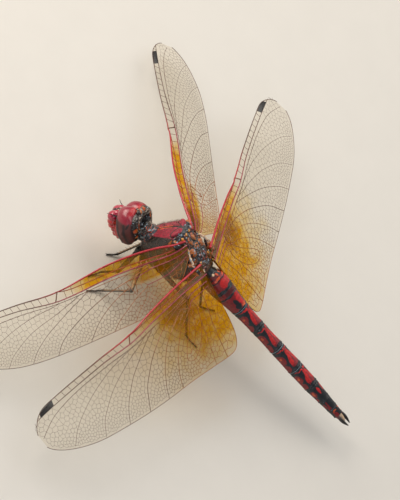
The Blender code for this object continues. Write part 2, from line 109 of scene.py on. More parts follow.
# A wing's plan. Edges are the front and rear edge behind the line of its front root, at parts of
# its length. Veins are rows of (part of the length, part of the chord) with their width in mm.
FOREWING = {
    "length": 42.5,
    "edges": (
        (-0.03, 0.0, 3.2), (0.02, -0.1, 5.6), (0.08, -0.6, 8.0), (0.17, -1.0, 9.0), (0.3, -1.0, 9.3),
        (0.52, 0.0, 9.5), (0.7, -0.6, 9.2), (0.88, -0.9, 8.0), (1.0, -0.6, 7.0),
    ),
    "ends": {"front_from": 0.9, "rear_from": 0.76, "tip_at": 2.6, "root_to": 0.17, "root_at": 1.6},
    "subcosta": ((-0.03, 0.16), (0.08, 0.155), (0.2, 0.145), (0.35, 0.12), (0.47, 0.06), (0.52, 0.0)),
    "radius": ((-0.03, 0.24), (0.08, 0.215), (0.2, 0.21), (0.35, 0.195), (0.52, 0.16), (0.7, 0.11),
               (0.86, 0.105), (0.93, 0.1), (1.0, 0.09)),
    "nodus": 0.52,
    "stigma": (0.862, 0.93),
    "antenodals": 13,
    "postnodals": 10,
    "veins": {
        "stem": (0.17, ((-0.03, 0.42), (0.04, 0.34), (0.1, 0.31), (0.14, 0.32), (0.205, 0.37))),
        "arculus": (0.13, ((0.14, 0.17), (0.143, 0.25), (0.142, 0.32))),
        "sector": (0.13, ((0.142, 0.23), (0.22, 0.26), (0.33, 0.245), (0.45, 0.215), (0.56, 0.19),
                          (0.7, 0.185), (0.84, 0.22), (0.93, 0.3), (0.985, 0.42))),
        "second": (0.1, ((0.53, 0.2), (0.66, 0.29), (0.78, 0.44), (0.88, 0.66), (0.93, 0.86))),
        "between": (0.1, ((0.44, 0.22), (0.56, 0.36), (0.68, 0.52), (0.78, 0.76), (0.83, 0.98))),
        "third": (0.12, ((0.4, 0.23), (0.5, 0.38), (0.6, 0.58), (0.68, 0.8), (0.725, 1.0))),
        "median": (0.14, ((0.143, 0.26), (0.2, 0.33), (0.245, 0.37), (0.35, 0.44), (0.46, 0.57),
                          (0.56, 0.78), (0.61, 1.0))),
        "triangle": (0.13, ((0.205, 0.37), (0.212, 0.5), (0.218, 0.64), (0.232, 0.5), (0.245, 0.37),
                            (0.225, 0.365), (0.205, 0.37))),
        "inner": (0.11, ((0.205, 0.37), (0.185, 0.46), (0.168, 0.54), (0.192, 0.6), (0.218, 0.64))),
        "posterior": (0.12, ((0.236, 0.46), (0.32, 0.58), (0.4, 0.76), (0.46, 1.0))),
        "cubital": (0.11, ((0.218, 0.64), (0.27, 0.76), (0.32, 0.88), (0.355, 1.0))),
        "anal": (0.13, ((-0.03, 0.66), (0.04, 0.56), (0.1, 0.54), (0.168, 0.54))),
        "branch": (0.09, ((0.168, 0.54), (0.19, 0.72), (0.23, 0.86), (0.26, 1.0))),
    },
}
HINDWING = {
    "length": 41.0,
    "edges": (
        (-0.03, 0.0, 15.0), (0.04, -0.15, 15.6), (0.15, -0.35, 14.8), (0.3, -0.3, 13.5), (0.43, 0.0, 12.6),
        (0.6, -0.6, 11.2), (0.87, -1.1, 8.6), (1.0, -0.8, 7.4),
    ),
    "ends": {"front_from": 0.89, "rear_from": 0.74, "tip_at": 2.9, "root_to": 0.05, "root_at": 2.4},
    "subcosta": ((-0.03, 0.085), (0.08, 0.075), (0.2, 0.07), (0.3, 0.055), (0.39, 0.03), (0.43, 0.0)),
    "radius": ((-0.03, 0.13), (0.08, 0.115), (0.2, 0.115), (0.33, 0.105), (0.43, 0.095), (0.6, 0.08),
               (0.86, 0.1), (0.95, 0.095), (1.0, 0.09)),
    "nodus": 0.43,
    "stigma": (0.862, 0.936),
    "antenodals": 9,
    "postnodals": 11,
    "veins": {
        "stem": (0.17, ((-0.03, 0.2), (0.03, 0.185), (0.07, 0.18), (0.105, 0.2))),
        "arculus": (0.13, ((0.1, 0.115), (0.104, 0.16), (0.105, 0.2))),
        "sector": (0.13, ((0.103, 0.145), (0.18, 0.17), (0.28, 0.165), (0.43, 0.145), (0.6, 0.14),
                          (0.76, 0.16), (0.88, 0.23), (0.95, 0.34), (0.985, 0.42))),
        "second": (0.1, ((0.47, 0.15), (0.6, 0.23), (0.73, 0.38), (0.84, 0.62), (0.9, 0.86))),
        "between": (0.1, ((0.37, 0.16), (0.5, 0.28), (0.62, 0.46), (0.72, 0.72), (0.77, 0.98))),
        "third": (0.12, ((0.32, 0.165), (0.43, 0.31), (0.53, 0.52), (0.61, 0.78), (0.65, 1.0))),
        "median": (0.14, ((0.104, 0.165), (0.175, 0.2), (0.27, 0.27), (0.38, 0.42), (0.48, 0.68),
                          (0.54, 1.0))),
        "triangle": (0.13, ((0.108, 0.205), (0.175, 0.2), (0.15, 0.25), (0.118, 0.3), (0.108, 0.205))),
        "posterior": (0.12, ((0.155, 0.24), (0.26, 0.38), (0.34, 0.56), (0.4, 0.8), (0.43, 1.0))),
        "cubital": (0.12, ((0.118, 0.3), (0.2, 0.42), (0.27, 0.6), (0.32, 0.82), (0.345, 1.0))),
        "anal": (0.13, ((-0.03, 0.26), (0.04, 0.245), (0.09, 0.25), (0.118, 0.3))),
        "loop": (0.12, ((0.09, 0.25), (0.085, 0.36), (0.105, 0.52), (0.15, 0.68), (0.215, 0.8),
                        (0.25, 0.76), (0.225, 0.64), (0.175, 0.5), (0.14, 0.38), (0.118, 0.3))),
        "rib": (0.09, ((0.105, 0.28), (0.125, 0.45), (0.17, 0.62), (0.225, 0.72))),
        "fan": (0.12, ((0.03, 0.25), (0.04, 0.42), (0.06, 0.66), (0.075, 1.0))),
        "outer fan": (0.1, ((0.1, 0.5), (0.115, 0.7), (0.14, 1.0))),
    },
}

# Each leg from hip to knee, ankle and toe
LEG_JOINTS = {
    "leg_fore_left": ((1.6, -10.4, -5.2), (6.7, -11.2, -6.5), (5.6, -12.4, -10.5), (7.8, -13.8, -11.1)),
    "leg_mid_left": ((1.8, -9.0, -5.6), (8.9, -7.9, -5.3), (8.4, -10.6, -10.5), (10.3, -12.7, -11.1)),
    "leg_hind_left": ((1.5, -6.9, -5.3), (3.4, 0.5, -4.1), (3.9, 5.4, -10.5), (4.1, 8.0, -11.1)),
    "leg_fore_right": ((-1.6, -10.4, -5.2), (-3.7, -9.3, -8.4), (0.7, -11.8, -10.5), (1.8, -13.1, -11.1)),
    "leg_mid_right": ((-1.8, -9.0, -5.6), (-7.6, -5.6, -5.2), (-8.6, -7.4, -10.5), (-9.2, -9.9, -11.1)),
    "leg_hind_right": ((-1.5, -6.9, -5.3), (-3.9, 0.3, -4.2), (-2.7, 4.9, -10.5), (-4.3, 7.4, -11.1)),
}

# Starts of the random draws for the back's knobs, the hair and the wings
KNOB_SEED = 3
HAIR_SEED = 7
WING_SEED = 40

SIDES = {"left": 1, "right": -1}
AHEAD = Vector((0, -1, 0))
BACKWARD = Vector((0, 1, 0))
LEFT = Vector((1, 0, 0))
UP = Vector((0, 0, 1))


def through(stations, t):
    """The values at t on the smooth curve through rows of (place, value, ...)."""
    last = len(stations) - 1
    t = min(max(t, stations[0][0]), stations[last][0])
    k = next(i for i in range(last) if t <= stations[i + 1][0])
    here, there = stations[k], stations[k + 1]
    before, after = stations[max(k - 1, 0)], stations[min(k + 2, last)]
    step = there[0] - here[0]
    f = (t - here[0]) / step
    values = []
    for a, b, c, d in zip(before[1:], here[1:], there[1:], after[1:]):
        slope_in = (c - a) / (there[0] - before[0]) * step
        slope_out = (d - b) / (after[0] - here[0]) * step
        values.append(
            b * (2 * f**3 - 3 * f**2 + 1)
            + slope_in * (f**3 - 2 * f**2 + f)
            + c * (3 * f**2 - 2 * f**3)
            + slope_out * (f**3 - f**2)
        )
    return values


def smooth_step(t):
    """0 to 1 with soft ends as t goes from 0 to 1."""
    t = min(max(t, 0.0), 1.0)
    return t * t * (3 - 2 * t)


def band(values, low, high, soft):
    """1 between two limits and 0 outside them, passing 0.5 at each limit over a soft width."""
    rise = (np.asarray(values, float) - low) / soft + 0.5
    fall = (high - np.asarray(values, float)) / soft + 0.5
    return np.clip(np.minimum(rise, fall), 0.0, 1.0)


def spot(u, v, centre, reach, soft=0.35):
    """1 inside an ellipse and 0 outside it, passing 0.5 at its rim."""
    q = np.hypot((u - centre[0]) / reach[0], (v - centre[1]) / reach[1])
    return np.clip((1.0 - q) / soft + 0.5, 0.0, 1.0)


def power_of(value, power):
    """The value to a power, with its sign kept."""
    return math.copysign(abs(value) ** power, value)


def section(centre, across, upward, half_width, above, below, sides, squareness=2.0):
    """A ring of points, egg-shaped where it reaches further above its centre than below."""
    points = []
    for k in range(sides):
        angle = 2 * math.pi * k / sides
        x = half_width * power_of(math.cos(angle), 2 / squareness)
        reach = above if math.sin(angle) > 0 else below
        z = reach * power_of(math.sin(angle), 2 / squareness)
        points.append(centre + across * x + upward * z)
    return points


def lofted(rings):
    """The points and faces of a closed shape through rings of points."""
    count = len(rings[0])
    points = [point for ring in rings for point in ring]
    faces = []
    for i in range(len(rings) - 1):
        for k in range(count):
            n = (k + 1) % count
            faces.append((i * count + k, i * count + n, (i + 1) * count + n, (i + 1) * count + k))
    last = (len(rings) - 1) * count
    faces.append(tuple(reversed(range(count))))
    faces.append(tuple(range(last, last + count)))
    return points, faces


def tube(points, radii, sides, flatness=1.0):
    """A closed tube along points, its frame carried on from ring to ring."""
    rings = []
    across = None
    for k, point in enumerate(points):
        along = (points[min(k + 1, len(points) - 1)] - points[max(k - 1, 0)]).normalized()
        if across is None:
            across = along.cross(UP if abs(along.z) < 0.9 else LEFT)
        across = (across - along * across.dot(along)).normalized()
        upward = across.cross(along)
        r = radii[k]
        rings.append(section(point, across, upward, r, r * flatness, r * flatness, sides))
    return lofted(rings)


def rotation(turn):
    """The turn about X, Y and Z in degrees."""
    return Euler([math.radians(angle) for angle in turn]).to_matrix()


def lump(centre, reach, turn=(0, 0, 0), rings=14, sides=20):
    """An ellipsoid turned about its centre."""
    matrix = rotation(turn)
    shape = []
    for i in range(rings):
        polar = math.pi * (i + 0.5) / rings
        ring = []
        for k in range(sides):
            angle = 2 * math.pi * k / sides
            on_sphere = (
                math.sin(polar) * math.cos(angle) * reach[0],
                math.cos(polar) * reach[1],
                math.sin(polar) * math.sin(angle) * reach[2],
            )
            ring.append(Vector(centre) + matrix @ Vector(on_sphere))
        shape.append(ring)
    return lofted(shape)


def spine(foot, tip, radius, sides=4):
    """A thin closed cone from a foot to a tip."""
    along = (tip - foot).normalized()
    across = along.cross(UP if abs(along.z) < 0.9 else LEFT).normalized()
    upward = across.cross(along)
    points = section(foot, across, upward, radius, radius, radius, sides) + [tip]
    faces = [(k, (k + 1) % sides, sides) for k in range(sides)] + [tuple(reversed(range(sides)))]
    return points, faces


class Form:
    """The points, faces and masks of one piece, in millimetres about the abdomen's root."""

    def __init__(self):
        self.points = []
        self.faces = []
        self.masks = {}

    def add(self, shape, **masks):
        """Adds a closed shape; a mask is one number for all its points, or one for each."""
        points, faces = shape
        start = len(self.points)
        self.points += list(points)
        self.faces += [[start + k for k in face] for face in faces]
        for name in {**self.masks, **masks}:
            values = self.masks.setdefault(name, [0.0] * start)
            given = masks.get(name, 0.0)
            values += list(given) if np.ndim(given) else [given] * len(points)

    def swell(self, rows, *fineness):
        """Adds ellipsoids by place, reach and turn, each followed by its twin across the middle."""
        for place, reach, turn in rows:
            self.add(lump(place, reach, turn, *fineness))
            if place[0]:
                twin = (-place[0], *place[1:])
                self.add(lump(twin, reach, (turn[0], -turn[1], -turn[2]), *fineness))


def new_object(name, contents):
    """A new object in the scene."""
    thing = bpy.data.objects.new(name, contents)
    bpy.context.scene.collection.objects.link(thing)
    return thing


def fused(form, voxel, passes):
    """One smooth skin round all the shapes of a form: its points, normals and faces."""
    mesh = bpy.data.meshes.new("fusing")
    mesh.from_pydata(form.points, [], form.faces)
    thing = new_object("fusing", mesh)
    remesh = thing.modifiers.new("One skin", "REMESH")
    remesh.mode = "VOXEL"
    remesh.voxel_size = voxel
    soften = thing.modifiers.new("Soft joins", "SMOOTH")
    soften.factor = 0.5
    soften.iterations = passes
    skin = thing.evaluated_get(bpy.context.evaluated_depsgraph_get()).to_mesh()
    grids = []
    for kind in ("co", "normal"):
        values = np.empty(len(skin.vertices) * 3, np.float32)
        skin.vertices.foreach_get(kind, values)
        grids.append(values.reshape(-1, 3).astype(float))
    faces = [tuple(face.vertices) for face in skin.polygons]
    bpy.data.objects.remove(thing)
    bpy.data.meshes.remove(mesh)
    return *grids, faces


def make_piece(name, form, material, replaced, crease=50.0):
    """Makes one object of a form in metres, with its masks, and hands it to the frame."""
    mesh = bpy.data.meshes.new(name)
    mesh.from_pydata([Vector(point) * MM + ROOT for point in form.points], [], form.faces)
    for mask, values in form.masks.items():
        layer = mesh.attributes.new(mask, "FLOAT", "POINT")
        layer.data.foreach_set("value", np.asarray(values, np.float32))
    tidy = bmesh.new()
    tidy.from_mesh(mesh)
    bmesh.ops.recalc_face_normals(tidy, faces=tidy.faces)
    tidy.to_mesh(mesh)
    tidy.free()
    mesh.shade_smooth()
    mesh.set_sharp_from_angle(angle=math.radians(crease))
    mesh.materials.append(material)
    piece = new_object(name, mesh)
    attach(piece, "root")
    if replaced:
        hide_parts(*replaced)
    return piece


# Materials


def linear(colour):
    """A sRGB hex colour as linear red, green, blue and alpha."""
    channels = [int(colour[i : i + 2], 16) / 255 for i in (1, 3, 5)]
    return [c / 12.92 if c <= 0.04045 else ((c + 0.055) / 1.055) ** 2.4 for c in channels] + [1.0]


def shade(name, seen, colour):
    """A colour that the user can change, given as sRGB hex."""
    default = linear(colour)[:3]
    return bpy.props.FloatVectorProperty(
        name=name, description=seen, subtype="COLOR", size=3, min=0.0, max=1.0, default=default
    )


def measure(name, seen, size, most):
    """A size that the user can change, given in millimetres."""
    return bpy.props.FloatProperty(
        name=name, description=seen, unit="LENGTH", precision=6, default=size * MM, min=0.0, max=most * MM
    )


class SkimmerColours(bpy.types.PropertyGroup):
    """Colours of the shell, eyes, wings and stage."""

    jet: shade("Jet", "Dark ground of the thorax, back of the head and claspers", "#17120f")
    coal: shade("Coal", "Bluish black ground of the abdomen", "#151920")
    slate: shade("Slate", "Blue-black knobs of the back and the first ring", "#273140")
    crimson: shade("Crimson", "Velvet patches on the thorax's front", "#94142f")
    umber: shade("Umber", "Brown ground of the back", "#54300f")
    rust: shade("Rust", "Red-brown plates of the back", "#6e2a1a")
    orange: shade("Orange", "Orange-brown plates of the back", "#b0601f")
    # the plates' bright rims are a painted highlight; the same colour also paints the orange marks of the
    # thorax's front, the collar, the head and the abdomen
    ember: shade("Ember", "Bright rims of the plates", "#cf5222")
    amber: shade("Amber", "Yellow-orange knobs at the wing hinges", "#e2962a")
    # the cream also paints the highlight spot on the abdomen's first ring, a painted highlight
    cream: shade("Cream", "Pale ridges and soft skin", "#e8c6a4")
    # painted highlight: the blue-grey glints flecked on the back, the collar and the back of the head; it
    # also colours the thin pale line at each joint of the abdomen
    glint: shade("Glint", "Waxy blue-grey bloom", "#8fa3b2")
    red: shade("Red", "Side patches of the abdomen", "#860d15")
    bright: shade("Bright red", "Streaks along the abdomen's back", "#c21b1d")
    wine: shade("Wine red", "Shaded red beside the abdomen's streaks", "#8c1622")
    dusk: shade("Dusk red", "Dark red parts of the abdomen", "#5c1216")
    lens: shade("Lens", "Upper part of the eyes", "#8c0f2c")
    # painted highlight: the brighter red of each eye's upper rear
    lens_top: shade("Lens top", "Uppermost rim of the eyes", "#b4141e")
    lens_low: shade("Lower lens", "Lower part of the eyes", "#5c2826")
    lens_dark: shade("Dark lens", "Bars and slot of the lower eye", "#260f12")
    face: shade("Face", "Lip and cheeks", "#b4161d")
    brow: shade("Brow", "The brow's two lobes", "#a80f38")
    nose: shade("Nose", "Plates under the brow", "#d2391f")
    hair: shade("Hair", "Hair of the thorax", "#5c3029")
    hair_pale: shade("Pale hair", "Hair of the first ring and head", "#b4a698")
    leg: shade("Leg", "Ground of the legs", "#1d1713")
    leg_stripe: shade("Leg stripe", "Tan stripe along each leg", "#8c7256")
    costa: shade("Costa", "Wing's front edge near its root", "#b01c2c")
    rose: shade("Rose", "Radius and the veins behind it near the root", "#963448")
    vein: shade("Vein", "Small veins near the root", "#a05a18")
    vein_far: shade("Outer vein", "Veins of the clear outer wing", "#5a3c2c")
    film: shade("Film", "Surface of the clear wing film", "#d8d0c0")
    film_amber: shade("Amber film", "Surface of the amber film", "#d8a010")
    # on the forewings this brown film and the brown filter below are partly painted shade: the dark shade
    # behind the root
    film_brown: shade("Brown film", "Surface of the brown film nearest the root", "#3c1c08")
    clear: shade("Clear filter", "Light that comes through the clear film", "#fbf9f5")
    stain: shade("Amber filter", "Light that comes through the amber film", "#f5d660")
    stain_deep: shade("Brown filter", "Light that comes through the brown film", "#a06432")
    board: shade("Board", "Floor under the animal", "#dedbd5")


class SkimmerSizes(bpy.types.PropertyGroup):
    """Sizes of the finer parts, which leave the solids' own sizes alone."""

    film: measure("Film", "Thickness of the wing film", 0.024, 0.1)
    costa: measure("Costa", "Width of each wing's front edge at its root", 0.42, 0.6)
    cell: measure("Cell", "Width of a wing's inner cells", 0.98, 2.0)
    skin_step: measure("Skin step", "Fineness of the trunk's fused skin", 0.085, 0.3)
    spine: measure("Spine", "Longest spine of the shins", 1.25, 2.0)
    hair: measure("Hair", "Hair of the thorax", 0.42, 0.8)
    tufts: bpy.props.IntProperty(name="Tufts", description="Tufts on the thorax", default=2600, min=0)
    knobs: bpy.props.IntProperty(name="Knobs", description="Small knobs of the back", default=14, min=0)


def colours():
    """The colours that the user has set."""
    return bpy.context.scene.skimmer_colours


def sizes():
    """The sizes that the user has set."""
    return bpy.context.scene.skimmer_sizes


def paint(name):
    """One of the user's colours, with its alpha."""
    return list(getattr(colours(), name)) + [1.0]


def feed(tree, node, inputs):
    """Gives each input of a node a value or the socket that feeds it."""
    for key, value in inputs.items():
        if isinstance(value, bpy.types.NodeSocket):
            tree.links.new(value, node.inputs[key])
        else:
            node.inputs[key].default_value = value


def add_node(tree, kind, inputs, **settings):
    """Adds a node with its settings and inputs."""
    node = tree.nodes.new(kind)
    for name, value in settings.items():
        setattr(node, name, value)
    feed(tree, node, inputs)
    return node


def mesh_mask(tree, name):
    """A mask of the mesh."""
    return add_node(tree, "ShaderNodeAttribute", {}, attribute_name=name).outputs["Fac"]


def worked(tree, operation, *values, clamped=False):
    """The outcome of a sum on values or sockets."""
    inputs = dict(enumerate(values))
    return add_node(tree, "ShaderNodeMath", inputs, operation=operation, use_clamp=clamped).outputs[0]


def mapped(tree, value, low, high, to_low=0.0, to_high=1.0, **settings):
    """A value between two limits, carried over to between two others."""
    limits = {"Value": value, "From Min": low, "From Max": high, "To Min": to_low, "To Max": to_high}
    return add_node(tree, "ShaderNodeMapRange", limits, **settings).outputs[0]


def new_material(name):
    """A new material, its nodes and its shader."""
    material = bpy.data.materials.new(name)
    material.use_nodes = True
    return material, material.node_tree, material.node_tree.nodes["Principled BSDF"]


def grain(tree, size, detail=3.0):
    """Noise with features of a real size in millimetres."""
    where = add_node(tree, "ShaderNodeTexCoord", {}).outputs["Object"]
    inputs = {"Vector": where, "Scale": 1 / (size * MM), "Detail": detail, "Roughness": 0.55}
    return add_node(tree, "ShaderNodeTexNoise", inputs).outputs["Fac"]


def mixed(tree, amount, below, above):
    """One colour over another by an amount."""
    inputs = {0: amount, 6: below, 7: above}
    return add_node(tree, "ShaderNodeMix", inputs, data_type="RGBA").outputs[2]


def ragged_mask(tree, mask, size, raggedness, edge):
    """A mask of the mesh with its border made sharp and uneven."""
    uneven = worked(tree, "MULTIPLY_ADD", grain(tree, size), raggedness, -raggedness / 2)
    total = worked(tree, "ADD", mesh_mask(tree, mask), uneven)
    return mapped(tree, total, 0.5 - edge, 0.5 + edge, interpolation_type="SMOOTHSTEP")


def cuticle(
    name, base, layers, roughness=0.38, coat=0.25, mottle=0.35, mottle_size=0.5, relief=0.012,
    relief_size=0.09, raggedness=0.35, ragged_size=0.35, edge=0.12, sheen=0.0, velvet=None, gleam=0.12,
):
    """Chitin, a hard skin laid down in thin layers: a base colour, colours over it by the masks of
    the mesh, cloudy mottling, a fine relief, and a duller finish where the velvet mask is. A layer
    is a mask and a colour, or one name for both. Gleam is the roughness of the clear outer layer.
    The relief's pits are drawn several times coarser than real ones, which are too fine to show."""
    material, tree, shader = new_material(name)
    colour = paint(base)
    for layer in layers:
        mask, over = (layer, layer) if isinstance(layer, str) else layer
        shape = ragged_mask(tree, mask, ragged_size, raggedness, edge)
        colour = mixed(tree, shape, colour, paint(over))
    cloud = mapped(tree, grain(tree, mottle_size), 0.3, 0.7, 1 - mottle, 1 + mottle * 0.6)
    shaded = add_node(tree, "ShaderNodeHueSaturation", {"Color": colour, "Value": cloud})
    gloss = mapped(tree, grain(tree, 0.2), 0.3, 0.7, roughness - 0.08, roughness + 0.12)
    if velvet:
        soft = mesh_mask(tree, velvet)
        gloss = worked(tree, "MULTIPLY_ADD", soft, 0.3, gloss, clamped=True)
        coat = mapped(tree, soft, 0.0, 1.0, coat, 0.0)
    height = grain(tree, relief_size, 2.0)
    bump = add_node(tree, "ShaderNodeBump", {"Strength": 0.6, "Distance": relief * MM, "Height": height})
    feed(tree, shader, {
        "Base Color": shaded.outputs[0], "Roughness": gloss, "Normal": bump.outputs[0], "IOR": 1.56,
        "Coat Weight": coat, "Coat Roughness": gleam, "Sheen Weight": sheen, "Sheen Roughness": 0.4,
    })
    return material


# Trunk: thorax, its first ring and the neck in one skin


def trunk_at(y):
    """Waist height, half width, reach above and below, and squareness of the trunk at y."""
    top, bottom, half_width = through(TRUNK_OUTLINE, y)
    waist = bottom + 0.52 * (top - bottom)
    return waist, half_width, top - waist, waist - bottom, 2.0 + 0.8 * smooth_step((y + 10.5) / 3.0)


def back_height(x, y):
    """Height of the trunk's upper surface."""
    waist, half_width, above, _, squareness = trunk_at(y)
    inward = max(1 - (min(abs(x), half_width) / half_width) ** squareness, 0.0)
    return waist + above * inward ** (1 / squareness)


# Plates on the back and the wing hinges: place across and along, depth their middle is sunk,
# reach across, along and up, turn about X and about Z, and their colour mask
BACK_PLATES = (
    (1.15, -9.02, 0.36, (1.15, 0.62, 0.38), 22, -16, "crimson"),
    (0.5, -8.25, 0.2, (0.42, 0.3, 0.32), 0, 20, "slate"),
    (1.1, -8.15, 0.2, (0.3, 0.35, 0.3), 0, -20, "slate"),
    (1.5, -7.6, 0.14, (0.26, 0.42, 0.26), 0, 30, "amber"),
    (1.8, -8.25, 0.25, (0.35, 0.4, 0.38), 0, -10, "slate"),
    (2.05, -7.45, 0.2, (0.22, 0.3, 0.24), 0, -30, "slate"),
    (2.45, -7.75, 0.2, (0.28, 0.36, 0.3), 0, 0, "amber"),
    (0.85, -7.3, 0.15, (0.24, 0.3, 0.22), 0, 10, "rust"),
    (0.5, -6.3, 0.3, (0.52, 0.98, 0.42), 0, 8, "orange"),
    (1.32, -6.35, 0.3, (0.36, 0.86, 0.36), 0, -10, "rust"),
    (2.05, -6.3, 0.3, (0.34, 0.6, 0.32), 0, -12, "slate"),
    (1.43, -4.75, 0.2, (0.62, 0.84, 0.42), 0, 14, "orange"),
    (0.0, -5.05, 0.2, (0.66, 0.66, 0.38), 0, 0, "orange"),
    (2.5, -4.95, 0.3, (0.3, 0.6, 0.3), 0, 0, "orange"),
    (0.75, -3.9, 0.18, (0.55, 0.2, 0.26), 0, 25, "slate"),
    (0.0, -4.15, 0.18, (0.35, 0.2, 0.24), 0, 0, "slate"),
    (0.52, -3.0, 0.2, (0.36, 0.92, 0.38), 0, 14, "rust"),
    (1.2, -3.25, 0.25, (0.3, 0.5, 0.3), 0, -5, "slate"),
    (1.85, -3.7, 0.25, (0.32, 0.4, 0.3), 0, -20, "orange"),
    (2.5, -3.05, 0.22, (0.45, 0.6, 0.4), 0, -8, "amber"),
    (2.1, -2.1, 0.25, (0.36, 0.45, 0.32), 0, -18, "cream"),
    (0.0, -1.65, 0.2, (0.6, 0.28, 0.28), 0, 0, "slate"),
    (1.2, -1.5, 0.25, (0.45, 0.36, 0.3), 0, -25, "rust"),
)

# Soft cords from the rear edge of each forewing to the back, and from each hindwing
BACK_CORDS = (
    ((1.9, -5.9, 3.4), (2.45, -5.2, 3.25), (2.85, -4.2, 2.95), (3.0, -3.5, 2.7)),
    ((1.7, -1.3, 1.9), (2.3, -0.9, 1.6), (2.8, -0.8, 1.3)),
)
# Highest point of the trunk's skin and hair, a little under the solids' top
CREST = 4.42


def back_lumps():
    """The plates of the back on both sides and the small knobs between them, as (centre, reach,
    turn, mask)."""
    draws = random.Random(KNOB_SEED)
    rows = list(BACK_PLATES)
    for _ in range(sizes().knobs):
        reach = (draws.uniform(0.09, 0.24), draws.uniform(0.12, 0.4), draws.uniform(0.1, 0.2))
        mask = draws.choice(("slate", "slate", "amber", "rust", "rust"))
        place = draws.uniform(0.25, 2.9), draws.uniform(-8.6, -1.3)
        rows.append((*place, 0.02, reach, 0, draws.uniform(-70, 70), mask))
    lumps = []
    for x, y, sunk, reach, pitch, yaw, mask in rows:
        for sign in (1, -1) if x else (1,):
            centre = Vector((sign * x, y, back_height(x, y) - sunk))
            slope = math.degrees(math.atan2(back_height(x, y + 0.3) - back_height(x, y - 0.3), 0.6))
            fall = math.degrees(math.atan2(back_height(x + 0.2, y) - back_height(x - 0.2, y), 0.4))
            fall = min(max(fall, -40), 0)
            lumps.append((centre, reach, (slope + pitch, -sign * fall, sign * yaw), mask))
    return lumps


def nearness(points, centre, reach, turn):
    """How far points lie from the middle of an ellipsoid, 1 on its surface, and the same seen
    from above."""
    matrix = np.array(rotation(turn))
    local = (points - np.array(centre)) @ matrix / np.array(reach)
    return np.linalg.norm(local, axis=1), np.linalg.norm(local[:, :2], axis=1)


# The first ring's collar, saddle and raised rear lobe, then the hinges of the fore and hind wings,
# each a place, reach and turn
TRUNK_LUMPS = (
    ((0, -12.3, -2.5), (1.15, 0.35, 1.15), (0, 0, 0)),
    ((0, -11.7, -2.4), (1.45, 0.5, 1.75), (0, 0, 0)),
    ((0, -11.1, -2.3), (1.6, 0.55, 1.95), (0, 0, 0)),
    ((0.5, -11.75, -1.0), (0.5, 0.35, 0.4), (0, 0, 0)),
    ((0.55, -11.15, -0.55), (0.55, 0.22, 0.45), (-15, 0, 0)),
    ((1.3, -11.9, -2.8), (0.35, 0.5, 0.7), (0, 0, 0)),
    ((1.2, -11.4, -1.5), (0.3, 0.3, 0.5), (0, 30, 0)),
    ((2.55, -7.6, 3.15), (0.75, 1.1, 0.45), (-12, 10, 0)),
    ((3.1, -2.6, 1.95), (0.7, 1.6, 0.5), (-12, 10, 0)),
)


def trunk_form():
    """The shapes that the trunk's skin is fused from."""
    form = Form()
    rings = []
    steps = 48
    for i in range(steps + 1):
        first, last = TRUNK_OUTLINE[0][0], TRUNK_OUTLINE[-1][0]
        y = first + (last - first) * (1 - math.cos(math.pi * i / steps)) / 2
        waist, half_width, above, below, squareness = trunk_at(y)
        centre = Vector((0, y, waist))
        rings.append(section(centre, LEFT, UP, half_width, above, below, 64, squareness))
    form.add(lofted(rings))
    for centre, reach, turn, _ in back_lumps():
        form.add(lump(centre, reach, turn))
    form.swell(TRUNK_LUMPS)
    for sign in (1, -1):
        # hip sockets and the side plates between them
        for name in ("leg_fore_", "leg_mid_", "leg_hind_"):
            hip = Vector(LEG_JOINTS[name + ("left" if sign > 0 else "right")][0])
            form.add(lump(hip + Vector((sign * 0.1, 0, 0.35)), (0.8, 0.75, 0.8)))
        for route in BACK_CORDS:
            points = [Vector((sign * x, y, z)) for x, y, z in route]
            form.add(tube(points, [0.2] * len(points), 10))
    neck = [Vector((0, -12.2, -2.45)), Vector((0, -12.9, -2.35)), Vector((-0.05, -13.6, -2.1))]
    form.add(tube(neck, [0.85, 0.62, 0.55], 16))
    return form


def bumps(points, size, seed=0):
    """Noise at each point, with features of a size in mm."""
    shift = Vector((seed * 7.3, seed * 3.1, seed * 5.7))
    return np.array([noise.noise(Vector(point) / size + shift) for point in points])


def flecks(points, size, low, high, soft, seed):
    """Wandering blots or threads: where noise of a size in mm lies between two limits."""
    return band(bumps(points, size, seed), low, high, soft)


